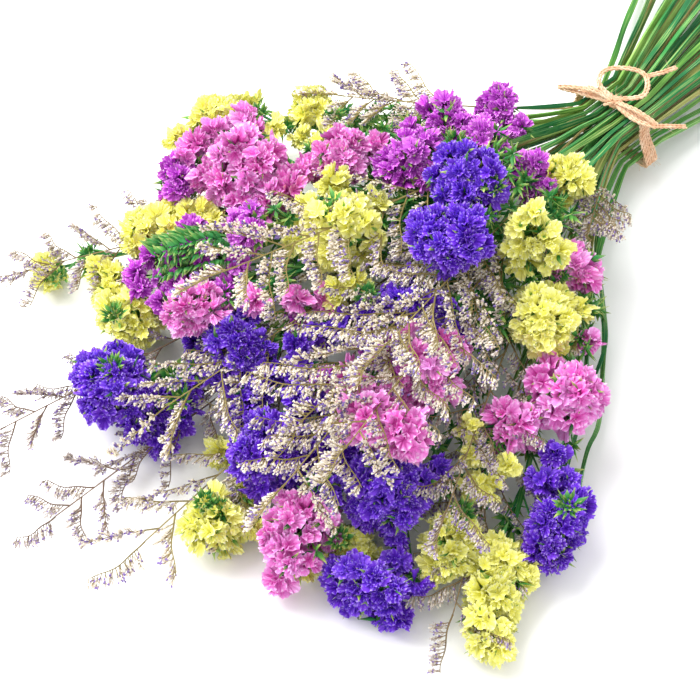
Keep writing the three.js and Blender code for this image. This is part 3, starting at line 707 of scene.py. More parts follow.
WINGED = (1, STEM_BODY, 1, STEM_BODY, 1, STEM_BODY)
EASE_LENGTH = 3 * TIE_HOLD  # past the tie's hold, until a stem is free
END_LENGTH = 2 * TIE_HOLD  # before the head, where a stem gets thinner
WAVE_WIDTH = 0.5 * MM
WAVE_PITCHES = (11, 17)  # millimetres
WING_RIPPLE = 0.07
RIPPLE_PITCHES = (4, 9)
STEM_SIZES = (0.7, 1.08)
HELD_SIZE = 0.85  # of a stem under the twine
END_SIZE = 0.6
STEM_TWISTS = (-1.2, 1.2)
GREEN_SHARE = 1.6  # the higher, the fewer stems are dried to straw


def stand_stem(heap, stalk):
    """A winged green stem from its cut end through the tie to the head."""
    path = stalk.whole_run()
    run = way_along(path)
    free = np.clip((np.abs(path[:, 0]) - TIE_HOLD) / EASE_LENGTH, 0, 1)
    near_end = np.clip((run[-1] - run) / END_LENGTH, 0, 1)

    def wave(pitches):
        return np.sin(run / (random.uniform(*pitches) * MM) + random.uniform(0, math.tau))

    for axis in (1, 2):
        path[:, axis] += wave(WAVE_PITCHES) * WAVE_WIDTH * free * near_end
    radii = WING_RADIUS * (1 + WING_RIPPLE * wave(RIPPLE_PITCHES)) * random.uniform(*STEM_SIZES)
    radii = radii * (HELD_SIZE + (1 - HELD_SIZE) * free) * (END_SIZE + (1 - END_SIZE) * near_end)
    twist = random.uniform(0, math.tau) + random.uniform(*STEM_TWISTS) * run / run[-1]
    stand_winged(heap, path, run, radii, twist, random.uniform() ** GREEN_SHARE)


def stand_winged(heap, path, run, radii, twist, tone):
    """A stem with three wings along a path."""
    points, faces = sweep(path[None] + TIE, radii[None], WINGED, UP, twist[None])
    wings = np.concatenate([np.tile([1.0, 0.0] * 3, len(run)), [0.0, 0.0]])
    heap.add(points, faces, tone=tone, along=tube_values(run[None], len(WINGED)), edge=wings)


TWIG_STATIONS = 4
TWIG_RADII = (0.9, 0.525)  # at its root and tip, in millimetres
TWIG_SECTION = (1, 0.6, 1, 0.6)
TWIG_SIDE = np.array([0.3, 0.5, 0.8])
TWIG_BOW = 0.25
TWIG_KIND = 0.5


def stand_twigs(heap, start, ends, axis, tones=ANY_TONE):
    """Thin branches from a place to others, bowed along an axis."""
    share = np.linspace(0, 1, TWIG_STATIONS)[None, :, None]
    bow = axis * np.linalg.norm(ends - start, axis=1)[:, None] * TWIG_BOW
    paths = start + (ends - start)[:, None] * share + bow[:, None] * np.sin(math.pi * share)
    stand_hairs(heap, paths, TWIG_RADII, TWIG_SECTION, TWIG_SIDE, tones, kind=TWIG_KIND)


# The heads.
HEAD_LOWEST = -0.85  # lobes stand on a ball from its top down to this height
FEWEST_LOBES = 6
HEAD_SHAKE = 0.12  # how far lobes stray from even places
CREST_SIDE = 0.45  # a turned head has its crest where it faces up more than this
LOBE_SIZES = (0.65, 1.12)
LOBE_SPREAD = (-0.05, 0.14)  # lowest height of cups round a lobe, and how far they stray
BROAD_FEWER = 1.6  # power of the width by which broad cups are fewer
CUPS_OUT = (0.85, 1.15)
CUP_TONE_CHANGE = 0.2
BENEATH = -0.4  # of the cups that face down more than this, a share is left out
BENEATH_SHARE = 0.5
LOWEST_MOUTH = 1 * MM
OPENINGS = (0.85, 0.25)  # mean and change
CLOSED_OPENINGS = (0.2, 0.55)
LEAST_OPENING = 0.1
LOBE_BRACTS = 4
LOBE_BRACT_SPREAD = (-0.1, 0.25)
LOBE_BRACT_LENGTHS = (6, 10)
LOBE_BRACT_WIDTHS = (1.0, 1.8)
TWIGGED = 0.3  # lobes further forward than this have no twig of their own
FAN_BRACTS = 9  # round the end of the stem
FAN_SPREAD = (0.1, 0.15)
FAN_BACK = 2 * MM
FAN_LENGTHS = (8, 12)
FAN_WIDTH = 2 * MM


def make_swell():
    """A head's uneven outline: how far it reaches in each direction, of its full size."""
    waves = random.normal(0, SWELL_PITCH, (3, 3))  # a wave along each of three directions
    phases = random.uniform(0, math.tau, 3)

    def swell(directions):
        rise = np.cos(unit(directions) @ waves.T + phases).mean(axis=1)
        return np.clip(SWELL_MEAN + SWELL_CHANGE * rise, SWELL_LEAST, 1)[:, None]

    return swell


def stand_head(flowers, greens, stalk):
    """A head of lobes of papery cups, with green bracts and twigs between them."""
    grow = CUPS[stalk.colour]
    broad = BROAD if stalk.way == "broad" else 1.0
    lobe = grow["lobe"] * MM
    half = np.array([stalk.width / 2 + SKIN_ACROSS] * 2 + [stalk.length / 2 + SKIN_ALONG])
    middle = stalk.middle + TIE
    turn = turns(stalk.axis[None], random.uniform(0, math.tau, 1))[0]
    swell = make_swell()
    mean = (half[0] + half[2]) / 2
    count = max(FEWEST_LOBES, round(4 * math.pi * mean**2 / (LOBE_SPACING * lobe) ** 2))
    ball = unit(spread(count, HEAD_LOWEST) + random.normal(0, HEAD_SHAKE, (count, 3)))
    skin = middle + (ball * half * swell(ball)) @ turn.T
    normals = unit((ball / half) @ turn.T)
    if stalk.way == "turned":
        stand_crest(greens, stalk, middle, half)
        under = normals[:, 2] <= CREST_SIDE
        skin, normals, ball = skin[under], normals[under], ball[under]
    sizes = lobe * random.uniform(*LOBE_SIZES, (len(skin), 1))
    lobes = skin - normals * sizes * LOBE_DEPTH
    stand_head_greens(greens, stalk, lobes, normals, ball)

    clad = random.uniform(size=len(skin)) > BARE_SHARE
    lobes, normals, sizes = lobes[clad], normals[clad], sizes[clad]
    cups = round(grow["cups"] / broad**BROAD_FEWER)
    directions = spread_about(normals, cups, *LOBE_SPREAD)
    out = sizes * random.uniform(*CUPS_OUT, (len(lobes), cups))
    mouths = lobes[:, None] + directions * out[..., None]
    tones = random.uniform(0, 1, (len(lobes), 1))
    tones = np.clip(tones + random.normal(0, CUP_TONE_CHANGE, (len(lobes), cups)), 0, 1)
    mouths, directions, tones = mouths.reshape(-1, 3), directions.reshape(-1, 3), tones.reshape(-1)
    local = ((mouths - middle) @ turn) / half
    level = np.linalg.norm(local, axis=1) / swell(local)[:, 0]
    left_out = random.uniform(size=len(mouths)) < BENEATH_SHARE
    beneath = (directions[:, 2] < BENEATH) & left_out
    seen = (level > HIDDEN_LEVEL) & (mouths[:, 2] > LOWEST_MOUTH) & ~beneath
    mouths, directions, tones = mouths[seen], directions[seen], tones[seen]
    if stalk.way == "closed":
        opening = random.uniform(*CLOSED_OPENINGS, len(mouths))
    else:
        opening = np.clip(random.normal(*OPENINGS, len(mouths)), LEAST_OPENING, 1)
    stand_cups(flowers, stalk.colour, mouths, directions, tones, opening, broad)


def stand_head_greens(greens, stalk, lobes, normals, ball):
    """Bracts round each lobe, twigs to the lobes at the back and a fan of bracts under all."""
    around = spread_about(normals, LOBE_BRACTS, *LOBE_BRACT_SPREAD).reshape(-1, 3)
    roots = np.repeat(lobes, LOBE_BRACTS, axis=0)
    tones = random.uniform(0, 1, (len(roots), 1))
    lengths = random.uniform(*LOBE_BRACT_LENGTHS, len(roots)) * MM
    widths = random.uniform(*LOBE_BRACT_WIDTHS, len(roots)) * MM
    stand_bracts(greens, roots, around, lengths, widths, tones)
    start = stalk.end + TIE
    behind = ball[:, 2] < TWIGGED
    stand_twigs(greens, start, lobes[behind], stalk.axis)
    fan = spread_about(stalk.axis[None], FAN_BRACTS, *FAN_SPREAD)[0]
    roots = np.repeat(start[None], FAN_BRACTS, axis=0) - stalk.axis * FAN_BACK
    lengths = random.uniform(*FAN_LENGTHS, FAN_BRACTS) * MM
    tones = random.uniform(0, 1, (FAN_BRACTS, 1))
    stand_bracts(greens, roots, fan, lengths, np.full(FAN_BRACTS, FAN_WIDTH), tones)


# What grows between the heads.
CLUSTER_CUPS = 24  # on a cluster as wide as CLUSTER_WIDTH
CLUSTER_WIDTH = 16 * MM
CLUSTER_LIFT = 4 * MM  # a cluster looks to a place this much higher than straight away
CLUSTER_SPREAD = (-0.25, 0.3)
CLUSTER_OUT = (0.6, 1.15)
CLUSTER_TONE_CHANGE = 0.25
CLUSTER_OPENINGS = (0.75, 0.3)  # mean and change
HOST_FROM = 0.3  # share of a stem's way from which twigs leave it
HOST_STATIONS = 40
TWIG_START = 5  # stations back along the host's stem
EDGE_BRANCH_RADII = (1.65, 1.125)  # at its root and tip, in millimetres
EDGE_BRANCH_STEP = 4 * MM
EDGE_BRANCH_TWIST = 4
EDGE_BRANCH_TONES = (0, 0.3)
STAR_BRACTS = 34
STAR_MIDDLE = np.array([3, 3, 1.5]) * MM
STAR_LEAN = 0.3
STAR_SPREAD = (-0.1, 0.2)
STAR_RISE = 0.5
STAR_LENGTHS = np.array([0.5, 0.8])  # shares of the star's stated length
STAR_WIDTHS = (0.9, 1.5)
STAR_TONES = (0.2, 1)
SIDE_TWIG_TONES = (0, 0.55)  # no further than this on the way from green to straw
TUFTS_ON_STEM = 14
TUFT_REACH = 95 * MM  # no tufts nearer the tie than this
TUFT_LEAST = 1.3  # a stem with tufts reaches this many times further
TUFT_LAST = 0.94  # share of the stem's way
TUFT_AHEAD = 0.05
TUFT_ASIDE = np.array([1, 1, 0.6])
TUFT_RISE = 0.25
TUFT_NEAREST = 4 * MM
TUFT_FURTHEST = 17 * MM
TUFT_FURTHEST_AT_EDGE = 6 * MM
EDGE_BEARINGS = (-29, 38)  # beyond these the tufts keep close to their stems
TUFT_LEAN = 8 * MM
TUFT_BRACTS = 12
TUFT_SPREAD = (-0.5, 0.3)
TUFT_LENGTHS = (4.5, 10)
TUFT_WIDTHS = (0.7, 1.3)
CREST_PITCH = 1.5 * MM
CREST_ALONG = (-1.1, 0.85)  # from and to, in half lengths of the head
CREST_SPAN = 2.4  # half lengths of the head that the count of bracts is for
CREST_SHAKE = 0.03
CREST_ROUND = 1.25  # square of the share at which the rounding of the crest ends
CREST_LEAST = 0.1
CREST_ROWS = ((0.0, 0.95), (0.16, 0.92), (0.36, 0.83), (0.62, 0.65))  # aside and up
CREST_FORWARD = (0.45, 0.8)
CREST_ASIDE = (0.6, 0.9)
CREST_UPWARD = (-0.05, 0.35)
CREST_LENGTHS = (5, 8)
CREST_WIDTHS = (1.1, 1.8)
CREST_TONES = (0.6, 1)


def stand_clusters(stalks, flowers, layers):
    """Side clusters of cups on twigs from the nearest stems."""
    rows = [(colour, *cluster) for colour, *clusters in CLUSTERS for cluster in clusters]
    for colour, reach, bearing, height, width, *way in rows:
        broad = BROAD if way else 1.0
        place = spot(reach, bearing, height)
        stalk, root = host_of(stalks, place)
        alike, _ = host_of([s for s in stalks if s.colour == colour], place)
        aim = unit(place - root + UP * CLUSTER_LIFT)
        place, root, width = place + TIE, root + TIE, width * MM
        count = round(CLUSTER_CUPS * (width / CLUSTER_WIDTH) ** 2 / broad)
        directions = spread_about(aim[None], count, *CLUSTER_SPREAD)[0]
        mouths = place + directions * width / 2 * random.uniform(*CLUSTER_OUT, (count, 1))
        tones = np.clip(random.uniform() + random.normal(0, CLUSTER_TONE_CHANGE, count), 0, 1)
        opening = np.clip(random.normal(*CLUSTER_OPENINGS, count), LEAST_OPENING, 1)
        stand_cups(flowers[alike.name], colour, mouths, directions, tones, opening, broad)
        stand_tuft(layers[stalk.row], root, place - aim * width / 4, aim)


def stand_edge_branches(greens):
    """Winged branches with no head along the edge of the bunch."""
    for places in EDGE_BRANCHES:
        path = smooth_path(np.array(places) * MM, EDGE_BRANCH_STEP)
        run = EDGE_BRANCH_STEP * np.arange(len(path))
        radii = np.linspace(*EDGE_BRANCH_RADII, len(path)) * MM
        twist = random.uniform(0, math.tau) + EDGE_BRANCH_TWIST * run / run[-1]
        stand_winged(greens, path, run, radii, twist, random.uniform(*EDGE_BRANCH_TONES))


def stand_stars(stalks, layers):
    """Stars of green bracts that stand out between the heads."""
    for reach, bearing, height, length in STARS:
        place = spot(reach, bearing, height)
        stalk, root = host_of(stalks, place)
        greens = layers[stalk.row]
        stand_twigs(greens, root + TIE, place[None] + TIE, UP, SIDE_TWIG_TONES)
        upward = unit(outward(bearing) * STAR_LEAN + UP)
        around = spread_about(upward[None], STAR_BRACTS, *STAR_SPREAD)[0]
        roots = place + TIE + around * STAR_MIDDLE
        around = unit(around + UP * STAR_RISE)
        grow_bracts(greens, roots, around, STAR_LENGTHS * length, STAR_WIDTHS, STAR_TONES)


def host_of(stalks, place):
    """The stem that passes nearest to a place, and where a twig to it leaves the stem."""
    shares = np.linspace(HOST_FROM, 1, HOST_STATIONS)
    nearest = None
    for stalk in stalks:
        run = np.vstack([stalk.outward_run(shares), stalk.middle])
        gaps = np.linalg.norm(run - place, axis=1)
        if nearest is None or gaps.min() < nearest:
            nearest = gaps.min()
            station = gaps.argmin()
            back = TWIG_START if station < len(shares) else 0
            found = stalk, run[max(0, station - back)]
    return found


def stand_tuft(greens, root, place, aim):
    """A twig with a tuft of green bracts at its end."""
    stand_twigs(greens, root, place[None], aim, SIDE_TWIG_TONES)
    around = spread_about(aim[None], TUFT_BRACTS, *TUFT_SPREAD)[0]
    roots = np.repeat(place[None], TUFT_BRACTS, axis=0)
    grow_bracts(greens, roots, around, TUFT_LENGTHS, TUFT_WIDTHS, ANY_TONE)


def stand_stem_tufts(greens, stalk):
    """Small leafy side shoots along the outer part of a stem."""
    reach = np.linalg.norm(stalk.end)
    if reach < TUFT_LEAST * TUFT_REACH:
        return
    inside = EDGE_BEARINGS[0] < stalk.bearing < EDGE_BEARINGS[1]
    furthest = TUFT_FURTHEST if inside else TUFT_FURTHEST_AT_EDGE
    shares = random.uniform(TUFT_REACH / reach, TUFT_LAST, TUFTS_ON_STEM)
    ahead = stalk.outward_run(np.clip(shares + TUFT_AHEAD, 0, 1))
    for root, beyond in zip(stalk.outward_run(shares), ahead):
        aside = unit(random.normal(0, 1, 3) * TUFT_ASIDE + UP * TUFT_RISE)
        place = beyond + aside * random.uniform(TUFT_NEAREST, furthest)
        stand_tuft(greens, root + TIE, place + TIE, unit(beyond - root + aside * TUFT_LEAN))


def stand_crest(greens, stalk, middle, half):
    """Rows of green bracts over a head that lies turned over."""
    across = unit(np.cross(UP, stalk.axis))
    over = unit(np.cross(stalk.axis, across))
    count = round(CREST_SPAN * half[2] / CREST_PITCH)
    share = np.linspace(*CREST_ALONG, count)
    for side in (-1, 1):
        for aside, rise in CREST_ROWS:
            place = share + random.normal(0, CREST_SHAKE, count)
            height = rise * np.sqrt(np.clip(CREST_ROUND - place**2, CREST_LEAST, 1))
            roots = middle + stalk.axis * (place * half[2])[:, None]
            roots = roots + across * side * aside * half[0] + over * (height * half[0])[:, None]
            directions = (
                stalk.axis * random.uniform(*CREST_FORWARD, (count, 1))
                + across * side * random.uniform(*CREST_ASIDE, (count, 1))
                + over * random.uniform(*CREST_UPWARD, (count, 1))
            )
            grow_bracts(greens, roots, directions, CREST_LENGTHS, CREST_WIDTHS, CREST_TONES)


# The sprays of sea lavender.
ROUND = (1,) * 5  # sections of tubes
THIN = (1,) * 3
ASKEW = np.array([0.2, 0.3, 0.9])
HAZE_STEM_TAPER = (1.15, 0.35)
TIP_STEP = 0.02  # share of a stem's or branchlet's way that shows which way it heads
BRANCHLET_SHAKE = 0.004
BRANCHLET_ANGLES = (41, 11)  # mean and change in degrees
END_ANGLE = 6
BRANCHLET_LEANS = (18, -18, 40, -35, 60)
BRANCHLET_LENGTH = 52 * MM  # on a spray that reaches as far as FULL_REACH
FULL_REACH = 250 * MM
SHORT_SHARE = 0.2  # of the length, on a spray that hardly reaches out
BRANCHLET_SHORTENING = 0.35
BRANCHLET_LENGTHS = (0.75, 1.05)
BRANCHLET_ARCHES = (0.1, 0.28)
BRANCHLET_DROOP = 0.1
BRANCHLET_WAVE = 1.1 * MM
BRANCHLET_WAVES = 9
BRANCHLET_STATIONS = 12
BRANCHLET_RADII = (0.5, 0.22)  # at its root and tip, in millimetres
BRANCHLET_KIND = 0.3
GREY_SHORTER = 0.35  # how much shorter the branchlets of a fully grey spray are
GREY_FINER = 0.25  # and how much smaller its teeth and florets
TEETH = 20
GREY_FEWER_TEETH = 6
FIRST_TOOTH = 0.16
LEAST_TOOTH = 0.1
TOOTH_SHAKE = 0.012
TOOTH_LENGTH = 8.5 * MM
TOOTH_TAPER = (1.1, 0.55)  # of its length at a branchlet's root and tip
TOOTH_LENGTHS = (0.55, 1.05)
TOOTH_RADII = (0.26, 0.16)
TOOTH_ASIDE = (0.75, 1)
TOOTH_FORWARD = (0.35, 0.9)
TOOTH_UPWARD = (0.1, 0.28)  # mean and change
FLORETS_ON_TOOTH = 8
FIRST_FLORET = 0.15
FLORET_ASIDE = 0.45
FLORET_SHAKE = 0.16
FLORET_LENGTH = 2.7 * MM
FLORET_LENGTHS = (0.8, 1.15)
FLORET_MOUTH = 0.57 * MM
FLORET_MOUTHS = (0.75, 1.2)
FLORET_RAGGED = 0.18
FLORET_HEART = 0.5  # what the material reads in the middle of a mouth


def stand_spray(heap, spray):
    """A thin stem with arched branchlets, each with a comb of tiny florets on one side."""
    path = spray.whole_run()
    run = way_along(path)
    radii = HAZE_STEM_RADIUS * np.interp(run / run[-1], (0, 1), HAZE_STEM_TAPER)
    points, faces = sweep(path[None] + TIE, radii[None], ROUND, UP)
    heap.add(points, faces, tone=random.uniform(), edge=spray.grey)

    count = spray.branchlets
    place = np.arange(count)
    shares = 1 - spray.plume * (1 - place / (count - 1))
    shares = np.clip(shares + random.normal(0, BRANCHLET_SHAKE, count), 0, 1)
    roots = spray.outward_run(shares)
    forward = unit(roots - spray.outward_run(shares - TIP_STEP))
    x, y, z = branchlet_axes(forward)
    reach = np.linalg.norm(spray.end) / FULL_REACH
    full = BRANCHLET_LENGTH * min(1, SHORT_SHARE + (1 - SHORT_SHARE) * reach)
    lengths = full * (1 - BRANCHLET_SHORTENING * place / count)
    lengths = lengths * random.uniform(*BRANCHLET_LENGTHS, count) * (1 - GREY_SHORTER * spray.grey)
    wave = random.uniform(0, math.tau, count)
    arch = random.uniform(*BRANCHLET_ARCHES, count)

    def on_branchlet(which, share):
        """Places at shares of the way along the branchlets which."""
        length = lengths[which][:, None]
        s = share[:, None]
        waved = BRANCHLET_WAVE * np.sin(wave[which][:, None] + BRANCHLET_WAVES * s) * s
        aside = waved - length * arch[which][:, None] * s**2
        droop = length * BRANCHLET_DROOP * s**2
        return roots[which] + TIE + x[which] * length * s + y[which] * aside - z[which] * droop

    stations = np.linspace(0, 1, BRANCHLET_STATIONS)
    which = np.repeat(place, BRANCHLET_STATIONS)
    paths = on_branchlet(which, np.tile(stations, count)).reshape(count, BRANCHLET_STATIONS, 3)
    thin = {"edge": spray.grey, "kind": BRANCHLET_KIND}
    stand_hairs(heap, paths, BRANCHLET_RADII, THIN, UP, **thin)

    starts, aims, tall = teeth_of(place, on_branchlet, y, z, spray.grey)
    tooth = (aims * tall[:, None])[:, None]
    stand_hairs(heap, starts[:, None] + tooth * [[[0], [1]]], TOOTH_RADII, THIN, ASKEW, **thin)
    along = np.linspace(FIRST_FLORET, 1, FLORETS_ON_TOOTH)[None, :, None]
    bases = starts[:, None] + tooth * along
    lean = np.where(np.arange(FLORETS_ON_TOOTH) % 2, FLORET_ASIDE, -FLORET_ASIDE)[:, None]
    aside = unit(np.cross(aims, random.normal(0, 1, aims.shape)))[:, None] * lean
    directions = aims[:, None] + aside + random.normal(0, FLORET_SHAKE, bases.shape)
    stand_florets(heap, bases.reshape(-1, 3), unit(directions.reshape(-1, 3)), spray.grey)


def branchlet_axes(forward):
    """Along each branchlet, to the side that its teeth are on, and up."""
    count = len(forward)
    across = unit(np.cross(forward, UP)) * np.where(np.arange(count) % 2, 1, -1)[:, None]
    angles = np.radians(random.normal(*BRANCHLET_ANGLES, count))[:, None]
    angles[-1] = math.radians(END_ANGLE)
    x = unit(forward * np.cos(angles) + across * np.sin(angles))
    lean = np.radians(random.choice(BRANCHLET_LEANS, count))[:, None]
    flat_y = unit(forward - x * np.einsum("ij,ij->i", forward, x)[:, None])
    flat_y[-1] = unit(across[-1] - x[-1] * (across[-1] @ x[-1]))
    y = flat_y * np.cos(lean) + np.cross(x, flat_y) * np.sin(lean)
    z = np.cross(x, y)
    return x, y, np.where(z[:, 2:] < 0, -z, z)


def teeth_of(place, on_branchlet, y, z, grey):
    """Where the teeth along each branchlet start, which way they point and how long they are."""
    teeth = round(TEETH - GREY_FEWER_TEETH * grey)
    which = np.repeat(place, teeth)
    share = np.tile(np.linspace(FIRST_TOOTH, 1, teeth), len(place))
    share = np.clip(share + random.normal(0, TOOTH_SHAKE, len(which)), LEAST_TOOTH, 1)
    heading = unit(on_branchlet(which, share + TIP_STEP) - on_branchlet(which, share - TIP_STEP))
    each = (len(which), 1)
    aims = unit(
        y[which] * random.uniform(*TOOTH_ASIDE, each)
        + heading * random.uniform(*TOOTH_FORWARD, each)
        + z[which] * random.normal(*TOOTH_UPWARD, each)
    )
    tall = TOOTH_LENGTH * np.interp(share, (0, 1), TOOTH_TAPER)
    tall = tall * random.uniform(*TOOTH_LENGTHS, len(which)) * (1 - GREY_FINER * grey)
    return on_branchlet(which, share), aims, tall


def stand_florets(heap, roots, directions, grey):
    """Tiny funnels with ragged rims, smaller on a grey spray."""
    points, faces = FLORET
    count = len(roots)
    on_rim, in_mouth = parts_of_funnel(points)
    finer = 1 - GREY_FINER * grey
    mouth = FLORET_MOUTH * finer * random.uniform(*FLORET_MOUTHS, (count, 1))
    wide = mouth * (1 + on_rim * random.normal(0, FLORET_RAGGED, (count, len(points))))
    tall = points[:, 2] * FLORET_LENGTH * finer * random.uniform(*FLORET_LENGTHS, (count, 1))
    shapes = points[:, 0] * wide, points[:, 1] * wide, tall
    edge = np.where(on_rim, 1.0, in_mouth * FLORET_HEART)
    read = {"tone": random.uniform(*ANY_TONE, (count, 1)), "edge": edge, "kind": 1.0, "along": grey}
    stand_shapes(heap, faces, shapes, roots, directions, **read)


# The twine.
def stand_twine(heap, path, side):
    """A strand of two plies laid round each other along a path."""
    run = way_along(path)
    across, over = sides(path, side)
    start = random.uniform(0, math.tau)
    tone = random.uniform()
    along = tube_values(run[None], PLY_CORNERS)
    for ply in (0, math.pi):
        angle = (start + ply + math.tau * run / PLY_TURN)[:, None]
        ply_path = path + PLY_OFFSET * (np.cos(angle) * over + np.sin(angle) * across)
        swell = PLY_RADIUS * (1 + PLY_SWELL * np.sin(run / PLY_SWELL_PITCH + start + ply))
        points, faces = sweep(ply_path[None] + TIE, swell[None], (1,) * PLY_CORNERS, side)
        heap.add(points, faces, tone=tone, along=along, edge=ply / math.pi)


def beside(path, side, shift):
    """The path moved sideways over the surface that it lies on."""
    return path + sides(path, side)[0] * shift


def wrap_path(slant):
    """Once round the bundle, from the knot and back to it."""
    near = [(KNOT[0] / MM + slant * y, y, z) for y, z in WRAP_OUTLINE]
    far = [(KNOT[0] / MM - slant * y, -y, z) for y, z in reversed(WRAP_OUTLINE)]
    lowest = (KNOT[0] / MM, *WRAP_LOWEST)
    return smooth_path(np.array([*near, lowest, *far]) * MM, TWINE_STEP, closed=True)


def stand_tie(heap):
    """The wraps round the bundle, the bow's loops and ends, the knot and stray fibres."""
    middle = np.array([KNOT[0], 0, TIE_HEIGHT])
    for slant in WRAP_SLANTS:
        path = wrap_path(slant)
        out = unit((path - middle) * [0, 1, 1])
        for strand in (-1, 0, 1):
            stand_twine(heap, beside(path, out, strand * STRAND_PITCH), ALONG_X)
    for places in TWINE_RUNS:
        path = smooth_path(np.array(places) * MM, TWINE_STEP)
        for strand in (-0.5, 0.5):
            stand_twine(heap, beside(path, UP, strand * STRAND_PITCH), UP)
    stand_knot(heap)
    stand_fibres(heap)


def stand_knot(heap):
    """The strands cross over and under each other in the knot."""
    t = np.linspace(0, math.tau, KNOT_STATIONS)
    ring = np.stack([np.sin(t) + 2 * np.sin(2 * t), np.cos(t) - 2 * np.cos(2 * t), -np.sin(3 * t)])
    for size, turn in KNOT_RINGS:
        cos, sin = math.cos(turn), math.sin(turn)
        shape = np.array([[cos, -sin, 0], [sin, cos, 0], [0, 0, 1]]) @ ring
        path = KNOT + (shape * KNOT_STRETCH).T * MM * size
        stand_twine(heap, path, UP)


def stand_fibres(heap):
    """Stray fibres that stand off the twine."""
    points = np.concatenate(heap.points)
    chosen = points[random.choice(len(points), FIBRES, replace=False)]
    inward = np.array([*(KNOT + TIE)[:2], TIE_HEIGHT])
    away = unit(unit(chosen - inward) + random.normal(0, FIBRE_SHAKE, chosen.shape))[:, None]
    curl = random.normal(0, FIBRE_CURL, chosen.shape)[:, None]
    share = np.linspace(0, 1, FIBRE_STATIONS)[None, :, None]
    length = random.uniform(*FIBRE_LENGTHS, (FIBRES, 1, 1)) * MM
    paths = chosen[:, None] + length * (away * share + curl * share**2)
    stand_hairs(heap, paths, FIBRE_RADII, THIN, ASKEW, kind=1.0)


# The materials. Colours are written as they are seen in the photograph, up to 255.
PAPER_VEINS = 900.0  # how fine a pattern is, as its scale over a metre
PAPER_BLOTCHES = 160.0
GREEN_PATCHES = 60.0
GREEN_STREAKS = (30.0, 3.5, 40.0)  # along a stem, across it, and from stem to stem
TWIG_PATCHES = 120.0
FLORET_GRAIN = 1500.0
JUTE_FIBRES = 1400.0
JUTE_PATCHES = 220.0
TABLE_GRAIN = 40.0


def as_light(red, green, blue):
    """A colour as a shader takes it."""
    parts = [part / 255 for part in (red, green, blue)]
    light = [p / 12.92 if p <= 0.04045 else ((p + 0.055) / 1.055) ** 2.4 for p in parts]
    return (*light, 1.0)


class Finish:
    """A material while it is being put together."""

    def __init__(self, name):
        self.material = bpy.data.materials.new(name)
        self.material.use_nodes = True
        self.tree = self.material.node_tree
        self.tree.nodes.clear()

    def node(self, kind, feeds=None, **settings):
        made = self.tree.nodes.new(kind)
        for name, value in settings.items():
            setattr(made, name, value)
        for name, value in (feeds or {}).items():
            self.feed(made.inputs[name], value)
        return made

    def feed(self, socket, value):
        """Gives a socket another node's output, a colour of the photograph or a number."""
        if isinstance(value, bpy.types.NodeSocket):
            self.tree.links.new(value, socket)
        else:
            socket.default_value = as_light(*value) if isinstance(value, tuple) else value

    def read(self, name):
        return self.node("ShaderNodeAttribute", attribute_name=name).outputs["Fac"]

    def ramp(self, factor, stops):
        made = self.node("ShaderNodeValToRGB", {"Fac": factor})
        elements = made.color_ramp.elements
        while len(elements) < len(stops):
            elements.new(0.5)
        for element, (place, shade) in zip(elements, stops):
            element.position = place
            element.color = as_light(*shade)
        return made.outputs["Color"]

    def mix(self, factor, first, second, way="MIX"):
        feeds = {"Fac": factor, "Color1": first, "Color2": second}
        return self.node("ShaderNodeMixRGB", feeds, blend_type=way).outputs["Color"]

    def maths(self, way, first, second):
        made = self.node("ShaderNodeMath", operation=way)
        self.feed(made.inputs[0], first)
        self.feed(made.inputs[1], second)
        return made.outputs["Value"]

    def noise(self, scale, detail=3.0, where=None):
        where = where or self.node("ShaderNodeTexCoord").outputs["Object"]
        feeds = {"Vector": where, "Scale": scale, "Detail": detail}
        return self.node("ShaderNodeTexNoise", feeds).outputs["Fac"]

    def scaled(self, value, between, onto=(0.0, 1.0)):
        """A value, with what lies between two numbers laid onto two others."""
        feeds = {"Value": value, "From Min": between[0], "From Max": between[1]}
        feeds.update({"To Min": onto[0], "To Max": onto[1]})
        return self.node("ShaderNodeMapRange", feeds).outputs["Result"]

    def tint(self, shade, value, between, most, over):
        """A shade under another one, which gets denser as a value runs between two numbers."""
        return self.mix(self.scaled(value, between, (0, most)), shade, over)

    def grey(self, value):
        """The same share of all three colours."""
        feeds = {"Red": value, "Green": value, "Blue": value}
        return self.node("ShaderNodeCombineColor", feeds).outputs["Color"]

    def bump(self, height, strength, distance):
        feeds = {"Height": height, "Strength": strength, "Distance": distance}
        return self.node("ShaderNodeBump", feeds).outputs["Normal"]

    def end(self, shade, normal, roughness, glow_through=0.0, specular=0.3):
        """Ends the material with a shader that lets a share of light through."""
        feeds = {"Base Color": shade, "Roughness": roughness, "Specular IOR Level": specular}
        if normal:
            feeds["Normal"] = normal
        surface = self.node("ShaderNodeBsdfPrincipled", feeds).outputs["BSDF"]
        if glow_through:
            back = self.node("ShaderNodeBsdfTranslucent", {"Color": shade}).outputs["BSDF"]
            both = self.node("ShaderNodeMixShader", {"Fac": glow_through})
            self.tree.links.new(surface, both.inputs[1])
            self.tree.links.new(back, both.inputs[2])
            surface = both.outputs["Shader"]
        self.node("ShaderNodeOutputMaterial", {"Surface": surface})
        return self.material


